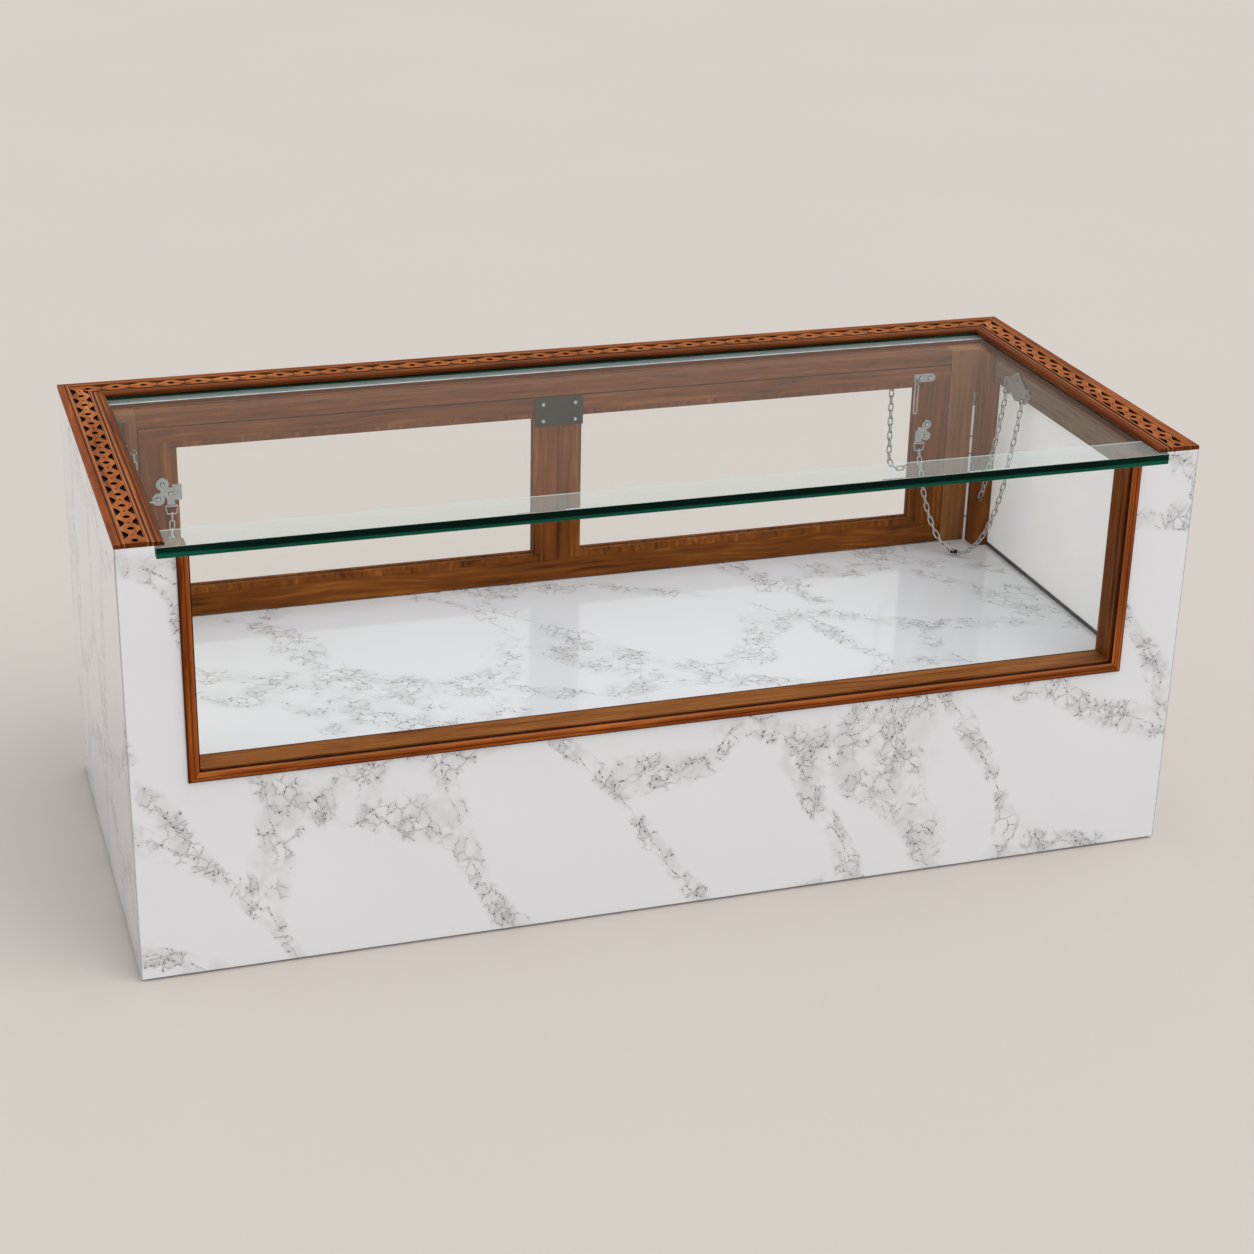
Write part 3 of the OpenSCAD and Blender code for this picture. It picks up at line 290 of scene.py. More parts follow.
def grey_shares(shader, turned, flat, sparse):
    """The halo along a band, the filled cells, the wide and the fine lines between small cells,
    and the specks on the fine lines. A line is where the distance to a cell's edge is small. A
    spine is such a line between two large cells. Noises leave gaps in all of them."""
    drift = shader.warp(shader.warp(flat, 4.0, 0.15, 2.0), 24.0, 0.03, 4.0)
    presence = shader.noise(flat, 6.0, 2.0).step(0.22 + sparse, 0.42 + sparse)
    band = shader.cells(drift, band_cells).step(0.135, 0.01) * presence
    small = shader.warp(shader.warp(turned, 9.0, 0.06, 2.0), 85.0, 0.016, 4.0)
    small_gap = shader.cells(small, net_cells)
    broken = shader.noise(turned, 27.0, 3.0).step(0.43, 0.57)
    reach = band.step(0.12, 0.6) * broken
    wobble = shader.warp(drift, 70.0, 0.014, 4.0)
    spine_broken = shader.noise(turned, 22.0, 3.0).step(0.40, 0.54)
    spine = shader.cells(wobble, band_cells).step(0.014, 0.001) * presence.step(0.0, 0.4)
    cell_tone = shader.axis(shader.cells(small, net_cells, "F1", output="Color"), 0)
    veins = (small_gap.step(0.08, 0.0) * reach).larger(spine * spine_broken * 0.7)
    return {
        "halo": band.step(0.0, 0.9) * shader.noise(turned, 40.0, 4.0).step(0.36, 0.66),
        "filled": cell_tone.step(0.5, 0.8) * band.step(0.2, 0.8) * broken,
        "net": small_gap.step(0.22, 0.0) * reach,
        "veins": veins,
        "specks": shader.noise(turned, 300.0, 2.0).step(0.55, 0.62) * veins.step(0.15, 0.5),
    }


print("marble: small cells of about", round(1000 / net_cells), "mm")

# %% Marble
greys = {
    "halo": (0.5, rgb(206, 206, 205)), "filled": (0.38, rgb(190, 190, 188)),
    "net": (0.3, rgb(168, 168, 166)), "veins": (0.31, rgb(136, 136, 134)),
    "specks": (0.85, rgb(58, 57, 56)),
}
seam_from, seam_to = 0.0018, 0.0008


def marble(name, turn, shift, clear=(rgb(230, 231, 233), rgb(237, 237, 239)), sparse=0.0,
           strength=1.0, corner=None):
    """turn brings the bands' direction to the Z axis, along which they are then stretched.
    clear holds the two tones of the bare stone. A higher sparse leaves out more of the bands, and
    a lower strength makes the greys paler. corner is how far from the middle the slab ends: there
    the mitre with the next slab shows as a grey seam."""
    shader = Shader(name)
    turned = shader.place(turn=turn, shift=shift)
    flat = shader.scaled(turned, (1.0, 1.0, 0.5))
    shares = grey_shares(shader, turned, flat, sparse)
    stone = shader.mix(shader.noise(flat, 7.0, 3.0), *clear)
    for part, (depth, grey) in greys.items():
        stone = shader.mix(shares[part] * (depth * strength), stone, grey)
    if corner is not None:
        aside = shader.axis(shader.place(), 0).size()
        stone = shader.mix(aside.step(corner - seam_from, corner - seam_to) * 0.55, stone,
                           rgb(118, 117, 114))
    shine = shader.noise(flat, 120.0, 3.0) * 0.04 + 0.07 + shares["veins"] * 0.10
    return shader.done(shader.principled(
        base_color=stone, roughness=shine, coat_weight=0.1, coat_roughness=0.05))


marble_front = marble("marble_front", turn=(0, 38, 0), shift=(0.31, 0.0, 0.13),
                      corner=cad_box[1][0])
# The deck's bare stone is a little lighter than the other slabs': painted light on the face that
# looks up.
marble_deck = marble("marble_deck", turn=(90, 49, 0), shift=(0.05, 0.27, 0.4),
                     clear=(rgb(233, 234, 236), rgb(238, 239, 241)), sparse=0.05, strength=0.65)
marble_side = marble("marble_side", turn=(-30, 25, 0), shift=(0.6, 0.11, 0.75))
print("marble: front, deck and sides")

# %% [markdown]
# The timber is a varnished hardwood. Its grain runs along the length of a board, so the
# pattern is stretched along one axis: slow along it, fast across. Three scales add up: broad
# figure, growth lines, and short dark pores. The varnish is thin and worn, so its clear coat and
# the wood's own reflection are weak. The rails under the sheet's sides and the two rear posts are
# paler boards, so they have finishes of their own.


# %% Wood
def grain_scale(along, slow, fast):
    """A pattern's scale on the three axes: slow along the grain, and fast across it."""
    return tuple(slow if axis == along else fast for axis in range(3))


def wood(name, along, dark, middle, light, painted_marks=None):
    """along is the grain's axis, 0 to 2. The last argument, if given, takes the shader and that
    axis and returns pairs of a share and a colour, painted shade and painted highlights, which go
    over the timber one after another."""
    shader = Shader(name)
    figure = shader.place(scale=grain_scale(along, 1.1, 5.0))
    broad = shader.noise(shader.warp(figure, 3.0, 0.5, 2.0), 4.0, 3.0)
    bent = shader.warp(shader.place(), 6.0, 0.02, 2.0)
    lines = shader.noise(shader.scaled(bent, grain_scale(along, 7.0, 210.0)), 1.0, 4.0, 0.6)
    pore_place = shader.place(scale=grain_scale(along, 45.0, 900.0))
    pores = shader.noise(pore_place, 1.0, 2.0).step(0.63, 0.72)
    tone = broad * 0.55 + lines * 0.95 - 0.25
    timber = shader.mix(tone.step(0.2, 0.52), dark, middle)
    timber = shader.mix(tone.step(0.5, 0.85), timber, light)
    timber = shader.mix(pores * 0.45, timber, dark)
    for share, colour in (painted_marks(shader, along) if painted_marks else ()):
        timber = shader.mix(share, timber, colour)
    relief = shader.bump(lines * 0.6 - pores * 0.4, 0.0004)
    return shader.done(shader.principled(
        base_color=timber, roughness=lines * 0.15 + 0.33, normal=relief,
        specular_ior_level=0.03, coat_weight=0.05, coat_roughness=0.12))


brown = (rgb(42, 18, 3), rgb(115, 62, 20), rgb(162, 97, 38))
warm = (rgb(66, 24, 4), rgb(142, 68, 18), rgb(196, 110, 42))
pale = (rgb(104, 48, 14), rgb(164, 90, 38), rgb(212, 140, 78))
wood_of = {("brown", 0): wood("brown_wood_X", 0, *brown),
           ("brown", 2): wood("brown_wood_Z", 2, *brown)}
rail_wood = wood("rail_wood", 1, rgb(80, 58, 40), rgb(118, 92, 69), rgb(142, 117, 94))
post_wood = wood("post_wood", 2, rgb(76, 42, 19), rgb(138, 88, 48), rgb(170, 118, 72))
print("wood: brown along X and Z, and paler rails and rear posts")

# %% [markdown]
# A moulding has quirks, the fine grooves between its curves, and rims beside them. On this object
# they are only 1 to 2 mm wide, so they are put on as lines of colour, each at its place across the
# moulding: painted shade in the quirks and painted highlights on the rims. What one sees through
# the openings of the pierced strip is the floor of the border's groove, painted black as shade,
# like the openings' walls.

# %% Painted lines across a moulding
fret_low, fret_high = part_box("fret_rear")
fret_wide = fret_high.y - fret_low.y
# black is painted shade: on the openings' walls, the groove's floor and the border's front ends.
black = rgb(12, 6, 3)


def near(across, place, half_width):
    """1 close to a place along a direction, 0 far from it, and a half at the half width."""
    return (across - place).size().step(half_width * 1.3, half_width * 0.7)


def pierced_painted_shade(shader, along):
    """Painted shade: black on the walls of the openings, which are all the faces that don't look
    up.
    """
    return [(shader.facing(2).step(0.8, 0.5), black)]


print("the pierced strips are", round(fret_wide * 1000, 1), "mm wide")

# %% The border's painted shade and highlights
groove_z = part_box("side_frets")[0].z
# The colour of the painted shade in quirks and hollows, then that of the painted highlights on
# rims.
shade_brown = rgb(44, 14, 2)
rim_highlight = rgb(214, 150, 98)
inner_quirks = ((0.0028, 0.0009), (0.0088, 0.0011))
outer_quirk = (0.0036, 0.0007)
inner_rims = ((0.0006, 0.0008), (0.0050, 0.0009))
outer_rim = (0.0008, 0.0008)
shade_from, shade_to = 0.0100, 0.0130
above_floor, on_floor = 0.0007, 0.0002
rim_share, line_share, end_share = 0.4, 0.82, 0.55


def border_painted_light(shader, along):
    """A quirk or rim is a pair of its distance from the groove's side and its half width. The
    quirks get painted shade and the rims painted highlights. The border gets painted shade beyond
    its inner quirks and on its front ends. The groove's floor, which looks up from the groove's
    depth, is painted black as shade."""
    point = shader.place()
    if along == 1:
        across = shader.axis(point, 0).size()
        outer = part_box("side_frets")[1].x
    else:
        across = shader.axis(point, 1)
        outer = fret_high.y
    inwards = outer - fret_wide - across
    outwards = across - outer
    lines = most([near(inwards, *quirk) for quirk in inner_quirks]
                 + [near(outwards, *outer_quirk), inwards.step(shade_from, shade_to) * 0.7])
    rims = most([near(inwards, *rim) for rim in inner_rims] + [near(outwards, *outer_rim)])
    low = shader.axis(point, 2).step(groove_z + above_floor, groove_z + on_floor)
    floor = shader.facing(2).step(0.6, 0.8) * low
    front_end = shader.facing(1).step(-0.5, -0.8) * end_share
    return [(rims * rim_share, rim_highlight), (lines * line_share, shade_brown),
            (floor.larger(front_end), black)]


for axis_index, axis_name in enumerate("XY"):
    wood_of["border", axis_index] = wood("border_wood_" + axis_name, axis_index, *warm,
                                         painted_marks=border_painted_light)
    wood_of["fret", axis_index] = wood("fret_wood_" + axis_name, axis_index, *pale,
                                       painted_marks=pierced_painted_shade)
print("the border has", len(inner_quirks) + 1, "dark lines and", len(inner_rims) + 1, "rims")

# %% Painted shade and highlights on the beads and the sill of the window
bead_quirk, bead_crown = (0.0002, 0.0009), (0.0024, 0.0010)
halfway, halfway_half = 0.48, 0.0006
edge_from, edge_to = 0.0028, 0.0008
level_crown, upright_crown = 0.32, 0.15
sill_from, sill_to = 0.0034, 0.0022


def bead_painted_light(shader, along):
    """past is the distance from the window's opening. A bead gets painted shade in the quirk beside
    the window's lining and in one halfway, a painted highlight on its crown, more so on the level
    bead, whose crown faces up, and painted shade along its outer edge, where the round turns away."""
    point = shader.place()
    bottom_low, bottom_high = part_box("bead_bottom")
    bead_wide = bottom_high.z - bottom_low.z
    if along == 0:
        past = bottom_high.z - shader.axis(point, 2)
        crown = level_crown
    else:
        across = shader.axis(point, 0)
        past = (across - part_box("bead_right")[0].x).larger(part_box("bead_left")[1].x - across)
        crown = upright_crown
    second_quirk = near(past, bead_wide * halfway, halfway_half) * 0.7
    quirks = near(past, *bead_quirk).larger(second_quirk)
    light = near(past, *bead_crown) * crown
    edge = past.step(bead_wide - edge_from, bead_wide - edge_to) * 0.75
    return [(light, rim_highlight), (quirks.larger(edge), shade_brown)]


def sill_painted_shade(shader, along):
    """The sill gets painted shade along its rear edge, where it meets the deck."""
    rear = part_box("window_sill")[1].y
    dark = shader.axis(shader.place(), 1).step(rear - sill_from, rear - sill_to)
    return [(dark * 0.8, shade_brown)]


wood_of["bead", 0] = wood("bead_wood_X", 0, *warm, painted_marks=bead_painted_light)
wood_of["bead", 2] = wood("bead_wood_Z", 2, *warm, painted_marks=bead_painted_light)
sill_wood = wood("sill_wood", 0, rgb(82, 41, 15), rgb(142, 86, 41), rgb(176, 118, 68),
                 painted_marks=sill_painted_shade)
print("wood:", len(wood_of) + 3, "finishes")

# %% [markdown]
# Plywood only shows from behind and below, so it is kept simple: pale face veneer with a long
# grain, and thin darker plies where an edge shows.


# %% Plywood
plies_per_metre = 700.0


def plywood():
    """The plies lie level, so their pattern is stretched along X and Y and fine along Z."""
    shader = Shader("plywood")
    face = shader.noise(shader.place(scale=(3.0, 60.0, 60.0)), 3.0, 4.0)
    across_plies = shader.place(scale=(2.0, 2.0, plies_per_metre))
    plies = shader.noise(across_plies, 1.0, 1.0).step(0.4, 0.6)
    veneer = shader.mix(face, rgb(176, 140, 98), rgb(208, 176, 130))
    veneer = shader.mix(plies * 0.3, veneer, rgb(140, 104, 66))
    return shader.done(shader.principled(base_color=veneer, roughness=face * 0.2 + 0.55))


board_finish = plywood()
print("plywood: plies of", round(1000 / plies_per_metre, 1), "mm")

# %% [markdown]
# Glass is clear over its faces and dark green on its cut edges, because there one looks along the
# sheet. A real edge shows its depth: near black above, and a brighter green near the lower arris
# and at the ends of the sheet. Here the cut edge is opaque, and that dark and bright are painted on
# it. The arrises get a pale, matt painted highlight. Where the pane stands under the sheet, one
# looks through both, and the sheet's front strip gets a painted milky veil, closed off by a painted
# pale line.
# The index of refraction is lower than that of real glass, because the even light of this scene
# would otherwise lay a pale haze over all that lies behind. For the same reason its reflections
# are weak in blue.

# %% The top sheet's painted light: its cut edge, arrises and front strip
top_low, top_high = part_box("top_glass")
strip_end = top_low.y + 0.046
end_zone = 0.12
dark_above, bright_below = 0.0066, 0.0046
strip_share, line_share, line_half, blur = 0.24, 0.6, 0.0015, 0.0004


def sheet_edge_light(shader, streak):
    """How bright the sheet's cut edge is: painted light on an opaque edge. It is bright below a
    limit that sways and rises towards the two ends, and more so there; above that limit only some
    streaks are."""
    point = shader.place()
    sway = shader.noise(shader.place(scale=(3.0, 3.0, 3.0)), 1.0, 2.0) * 0.004
    side = shader.axis(point, 0).size().step(top_high.x - end_zone, top_high.x)
    height = shader.axis(point, 2) + sway - side * 0.002
    lower = height.step(top_low.z + dark_above, top_low.z + bright_below)
    streaks = streak.step(0.55, 0.8) * 0.12 + side * 0.12
    return (lower * (streak * 0.5 + 0.35 + side * 0.2)).larger(streaks)


def arris_highlight(shader, solid):
    """A painted highlight on the arrises: matt and pale where the surface looks neither straight up
    or down nor level.
    """
    arris = near(shader.facing(2).size(), 0.78, 0.13)
    pale_arris = shader.principled(base_color=rgb(196, 206, 198), roughness=0.5)
    return shader.blend(arris * 0.75, solid, pale_arris)


def painted_veil_strip(shader, solid, is_edge):
    """The top face in front of strip_end gets a pale painted veil, standing in for the light seen
    there, and a painted pale line closes it off.
    """
    point = shader.place()
    depth = shader.axis(point, 1)
    strip = depth.step(strip_end + blur, strip_end - blur) * strip_share
    line = near(depth, strip_end, line_half) * line_share
    on_top = shader.axis(point, 2).step(top_high.z - 2 * blur, top_high.z - blur)
    top_face = on_top * (1 - is_edge)
    veil = shader.principled(base_color=rgb(204, 220, 214), roughness=1.0, specular_ior_level=0.0)
    return shader.blend(top_face * strip.larger(line), solid, veil)


print("glass: top sheet from", round(top_low.z, 4), "to", round(top_high.z, 4))


# %% Glass
def glass(name, thin_axis, ior, tint, edge_tones, edge_share=1.0, is_sheet=False,
          clear_above=None):
    """thin_axis is the sheet's thin direction, and an edge is what doesn't look along it. An edge
    has a dark and a bright tone, between which its light and shade are painted, and edge_share is
    how solid it looks. is_sheet adds the top sheet's painted marks: the light in its cut edge, the
    highlight on its arrises, and the veil and line on its front strip. Above clear_above the glass
    doesn't show: there an upright pane meets the sheet over it. For shadow and diffuse rays all of
    it is nearly clear, as glass is when light falls through it."""
    shader = Shader(name)
    is_edge = shader.facing(thin_axis).size().step(0.62, 0.5)
    smear = shader.noise(shader.place(scale=(4.0, 4.0, 4.0)), 3.0, 3.0)
    body = shader.principled(base_color=tint, roughness=smear * 0.012, ior=ior,
                             specular_tint=(1.0, 0.98, 0.70, 1.0), transmission_weight=1.0)
    streak = shader.noise(shader.place(scale=(7.0, 40.0, 260.0)), 1.0, 3.0)
    edge_light = sheet_edge_light(shader, streak) if is_sheet else streak
    edge = shader.principled(base_color=shader.mix(edge_light, *edge_tones),
                             roughness=smear * 0.05 + 0.12, specular_ior_level=0.04)
    solid = shader.blend(is_edge * edge_share, body, edge)
    clear = shader.node("ShaderNodeBsdfTransparent", None, {"Color": (0.985, 0.99, 0.987, 1.0)})
    if is_sheet:
        solid = painted_veil_strip(shader, arris_highlight(shader, solid), is_edge)
    if clear_above is not None:
        above = shader.axis(shader.place(), 2).step(clear_above, clear_above + blur)
        solid = shader.blend(above, solid, clear)
    shadow = shader.node("ShaderNodeLightPath", output="Is Shadow Ray").larger(
        shader.node("ShaderNodeLightPath", output="Is Diffuse Ray"))
    return shader.done(shader.blend(shadow, solid, clear))


pane_hidden = 0.0105
top_glass = glass("top_glass", thin_axis=2, ior=1.112, tint=(0.978, 0.990, 0.992, 1.0),
                  edge_tones=(rgb(2, 24, 17), rgb(20, 96, 74)), is_sheet=True)
window_glass = glass("window_glass", thin_axis=1, ior=1.12, tint=(0.985, 0.992, 0.988, 1.0),
                     edge_tones=(rgb(112, 134, 126), rgb(150, 168, 160)), edge_share=0.2,
                     clear_above=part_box("front_glass")[1].z - pane_hidden)
door_glass = glass("door_glass", thin_axis=1, ior=1.15, tint=(0.995, 0.997, 0.995, 1.0),
                   edge_tones=(rgb(60, 92, 84), rgb(130, 160, 150)))
print("glass: the sheet, the window's pane and the door's panes")

# %% [markdown]
# The chains, plates and screws are nickel-plated steel, a little dull, with fine scratches and
# darker spots. Clean metal would only mirror the floor and look dark against it, so they have a
# pale diffuse share too, a painted sheen. Undersides, and the sloping sides round the screws' flat
# tops, get painted shade. The mending plate is a plain steel strip gone grey. The hinges are brass.


# %% Metal
scratch_deep = 0.000035


def metal(name, pale, dark, roughness, shade_ringed=False, bare=1.0):
    """Undersides get painted shade. With the ring flag, so do the sloping sides round each screw's
    flat top. bare is the share that mirrors like clean metal; the rest is a pale diffuse share, a
    painted sheen."""
    shader = Shader(name)
    grain = shader.noise(shader.place(scale=(90.0, 90.0, 900.0)), 3.0, 3.0)
    spots = shader.noise(shader.place(), 160.0, 4.0).step(0.5, 0.72)
    colour = shader.mix(spots * 0.55, shader.mix(grain, pale, dark), dark)
    # Painted shade on the undersides.
    colour = shader.mix(shader.facing(2).step(0.4, -0.7) * 0.8, colour, rgb(52, 52, 50))
    if shade_ringed:
        # Painted shade on the sloping sides round each screw's flat top.
        straight = most([shader.facing(axis).size() for axis in range(3)])
        colour = shader.mix(straight.step(0.96, 0.88) * 0.92, colour, rgb(26, 26, 25))
    relief = shader.bump(grain, scratch_deep)
    return shader.done(shader.principled(
        base_color=colour, metallic=bare, roughness=grain * 0.15 + spots * 0.12 + roughness,
        normal=relief))


nickel = metal("nickel", rgb(246, 247, 242), rgb(150, 151, 147), 0.25, bare=0.5)
plate_nickel = metal("plate_nickel", rgb(226, 229, 226), rgb(160, 162, 159), 0.3, shade_ringed=True,
                     bare=0.5)
screw_steel = metal("screw_steel", rgb(252, 253, 250), rgb(190, 191, 188), 0.2, shade_ringed=True,
                    bare=0.6)
dull_steel = metal("dull_steel", rgb(84, 86, 80), rgb(56, 58, 54), 0.42)
brass = metal("brass", rgb(206, 172, 104), rgb(140, 110, 60), 0.25)
satin = metal("satin_aluminium", rgb(150, 152, 150), rgb(88, 90, 88), 0.35)
dark_joiner = metal("dark_joiner", rgb(74, 74, 72), rgb(30, 30, 29), 0.4)
print("metal: scratches", scratch_deep * 1000, "mm deep")

# %% [markdown]
# What is left is plain: the light lining panels, the white board behind the header and the black
# glides. Each gets a faint mottle and a fine relief, so that it doesn't look like a flat colour.
# The linings also get a little painted glow, though they are no lamps, because the real ones are
# lighter than this even light makes them.


# %% Plain finishes
def plain(name, pale, dark, roughness, glow=0.0):
    """A broad mottle between two close colours, and a fine relief of a fifth of a millimetre."""
    shader = Shader(name)
    mottle = shader.noise(shader.place(), 30.0, 4.0)
    fine = shader.noise(shader.place(), 750.0, 2.0)
    colour = shader.mix(mottle.step(0.3, 0.7), pale, dark)
    return shader.done(shader.principled(
        base_color=colour, roughness=mottle * 0.15 + roughness,
        normal=shader.bump(fine, 0.0002), emission_color=pale, emission_strength=glow))


# The linings' glow is painted light: they hold no lamp.
lining = plain("lining", rgb(244, 243, 240), rgb(239, 238, 235), 0.35, glow=0.16)
white_board = plain("white_board", rgb(226, 228, 228), rgb(206, 209, 210), 0.4)
black_glide = plain("black_glide", rgb(34, 34, 34), rgb(24, 24, 24), 0.5)
print("plain: linings, board and glides")

# %% [markdown]
# Two pieces change along their length. The tape under the sheet is clear, so that the wood under it
# shows, and only beside the rear border it is white, with a teal strip of painted shade, the
# glass's shade, at its rear edge. The light stick is a white rod with a grey sleeve over its top
# and dark clips. Each is one solid, so its parts are told apart by place.

# %% Tape and light stick
white_wide, glass_shade_wide, tape_blur = 0.0075, 0.004, 0.001
sleeve_long, sleeve_blur = 0.018, 0.0002
clip_shares = (0.17, 0.58, 0.7)
clip_outside, clip_inside = 0.0009, 0.0006


def tape_finish():
    """Wood colour, and white beside the rear border, where its last stretch is teal: painted shade
    cast by the glass.
    """
    shader = Shader("tape")
    side_low, side_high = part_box("border_left")
    rear_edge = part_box("border_rear")[1].y - side_high.x + side_low.x
    depth = shader.axis(shader.place(), 1)
    rear = depth.step(rear_edge - white_wide - tape_blur, rear_edge - white_wide)
    glass_shade = depth.step(rear_edge - glass_shade_wide - tape_blur, rear_edge - glass_shade_wide)
    mottle = shader.noise(shader.place(), 60.0, 3.0)
    white = shader.mix(mottle.step(0.4, 0.7), rgb(232, 236, 236), rgb(196, 202, 202))
    white = shader.mix(glass_shade, white, rgb(140, 158, 158))
    colour = shader.mix(rear, rgb(104, 58, 26), white)
    return shader.done(shader.principled(base_color=colour, roughness=mottle * 0.2 + 0.4))


def light_stick_finish():
    """The sleeve is what lies above a height, and a clip what lies close to one, which is given
    as a share of the rod's length."""
    shader = Shader("light_stick")
    low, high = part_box("light_stick")
    height = shader.axis(shader.place(), 2)
    sleeve_foot = high.z - sleeve_long
    sleeve = height.step(sleeve_foot - sleeve_blur, sleeve_foot + sleeve_blur)
    clips = most([
        (height - (low.z + (high.z - low.z) * share)).size().step(clip_outside, clip_inside)
        for share in clip_shares])
    mottle = shader.noise(shader.place(), 200.0, 2.0)
    colour = shader.mix(mottle, rgb(246, 246, 243), rgb(236, 236, 232))
    colour = shader.mix(sleeve, colour, rgb(128, 130, 130))
    colour = shader.mix(clips, colour, rgb(60, 54, 48))
    return shader.done(shader.principled(base_color=colour, roughness=mottle * 0.1 + 0.25))


print("tape: a white strip", white_wide * 1000, "mm wide;", len(clip_shares), "clips on the rod")

# %% [markdown]
# Every node gets its finish by its material slot, and some have one of their own. A wooden node
# also needs to know which way its grain runs.

# %% Which finish goes where
grain_of = {
    0: ["bead_bottom", "rear_header", "door_rails", "border_rear", "fret_rear"],
    1: ["border_left", "border_right", "side_frets"],
}
grain = {name: axis for axis, names in grain_of.items() for name in names}
by_slot = {
    "glide": black_glide, "plywood": board_finish, "tape": tape_finish(), "lining": lining,
    "steel": nickel, "white_board": white_board, "channel": satin, "light": light_stick_finish(),
    "dark_steel": dull_steel, "brass": brass,
}
by_node = {
    "front_marble": marble_front, "deck_slab": marble_deck, "top_glass": top_glass,
    "front_glass": window_glass, "door_panes": door_glass, "case_screws": screw_steel,
    "door_screws": screw_steel, "case_plates": plate_nickel, "door_plates": plate_nickel,
    "window_sill": sill_wood, "side_rail_left": rail_wood, "side_rail_right": rail_wood,
    "rear_post_left": post_wood, "rear_post_right": post_wood,
}


def finish_of(node):
    """The material of a node, from its name, its slot and the way its grain runs."""
    slot = slot_of[node]
    if node in by_node:
        return by_node[node]
    if slot == "marble":
        return marble_side
    if slot == "walnut":
        return wood_of["brown", grain.get(node, 2)]
    if slot == "border_wood":
        kind = next(kind for kind in ("bead", "border", "fret") if kind in node)
        return wood_of[kind, grain.get(node, 2)]
    return by_slot[slot]


def dress(piece, material):
    """Gives the whole piece one material, in place of all that it had."""
    piece.data.materials.clear()
    piece.data.materials.append(material)


def add_piece(mesh, material):
    """A new object in the scene, named as its mesh, of one material."""
    piece = bpy.data.objects.new(mesh.name, mesh)
    bpy.context.scene.collection.objects.link(piece)
    dress(piece, material)
    return piece


for name, node in nodes.items():
    dress(node, finish_of(name))
print("dressed", len(nodes), "nodes")

# %% [markdown]
# A sawn board or a polished slab never ends in a perfect corner: the maker takes the arris
# off, and that narrow slope catches the light. So the marble slabs, the wooden frames and
# mouldings, the top sheet, the window's pane and the mending plate are copied, their loose
# triangles are merged back into flat faces, and a Bevel modifier rounds the edges.


# %% Softened edges
same_place = 2e-6
flat_angle, sharp_angle = math.radians(1), math.radians(35)


def soften(node, width):
    """A copy of a node with its edges rounded by the width, in metres, in place of the node."""
    cad = nodes[node]
    mesh = bpy.data.meshes.new(node + "_eased")
    corners = np.empty(len(cad.data.vertices) * 3, np.float32)
    cad.data.vertices.foreach_get("co", corners)
    triangles = np.empty(len(cad.data.polygons) * 3, np.int32)
    cad.data.polygons.foreach_get("vertices", triangles)
    mesh.from_pydata(corners.reshape(-1, 3), [], triangles.reshape(-1, 3))
    work = bmesh.new()
    work.from_mesh(mesh)
    bmesh.ops.remove_doubles(work, verts=work.verts, dist=same_place)
    bmesh.ops.dissolve_limit(work, angle_limit=flat_angle, verts=work.verts, edges=work.edges)
    work.to_mesh(mesh)
    work.free()
    mesh.shade_smooth()
    piece = add_piece(mesh, finish_of(node))
    bevel = piece.modifiers.new("arris", "BEVEL")
    bevel.width = width
    bevel.segments = 2
    bevel.limit_method = "ANGLE"
    bevel.angle_limit = sharp_angle
    bevel.harden_normals = True
    bevel.use_clamp_overlap = True
    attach(piece, cad["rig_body"])
    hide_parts(node)


eased = {
    0.0004: ["front_marble", "left_marble", "right_marble", "deck_slab", "rear_marble_lower",
             "rear_marble_left", "rear_marble_right", "rear_marble_head"],
    0.0006: ["window_sill", "jamb_left", "jamb_right", "side_rail_left", "side_rail_right",
             "corner_post_left", "corner_post_right", "rear_post_left", "rear_post_right",
             "rear_header", "door_rails", "door_stiles", "door_beads"],
    0.0008: ["top_glass"],
    0.0005: ["bead_left", "bead_bottom", "bead_right", "border_left", "border_rear",
             "border_right"],
    0.0003: ["mending_plate", "front_glass"],
}
for width, names in eased.items():
    for name in names:
        soften(name, width)
print("softened", sum(map(len, eased.values())), "pieces")

# %% [markdown]
# Each stay chain hangs in a curve between the door and the side wall. A hanging chain lies on a
# catenary: where its run over the ground is a times u, its height is a times cosh u, and its length
# from the lowest point is a times sinh u. One link is a stadium-shaped loop of wire. All links are
# worked out at once, as one array with the link, the way round it and the way round its wire.

# %% A hanging curve
link_pitch = 0.0094


def catenary(start, end, links):
    """Points one pitch apart on the curve of a chain that hangs from start to end: the run is
    a times u, the height a times cosh u, and a is found by halving until the length fits."""
    across = end[:2] - start[:2]
    run = np.hypot(*across)
    rise = end[2] - start[2]
    level = math.sqrt((links * link_pitch) ** 2 - rise ** 2)
    low, high = run / 60, run * 20
    for _ in range(60):
        a = (low + high) / 2
        low, high = (a, high) if 2 * a * math.sinh(run / (2 * a)) > level else (low, a)
    first = math.asinh(rise / level) - run / (2 * a)
    u = np.arcsinh(math.sinh(first) + np.arange(links + 1) * link_pitch / a)
    share = (u - first) * a / run
    height = start[2] + a * (np.cosh(u) - math.cosh(first))
    return np.column_stack([start[:2] + share[:, None] * across, height])


print("a link every", link_pitch * 1000, "mm")

# %% Links of wire along a curve
wire_r = 0.0009
link_length, link_width = 0.0134, 0.0072
around_count, wire_count = 20, 8


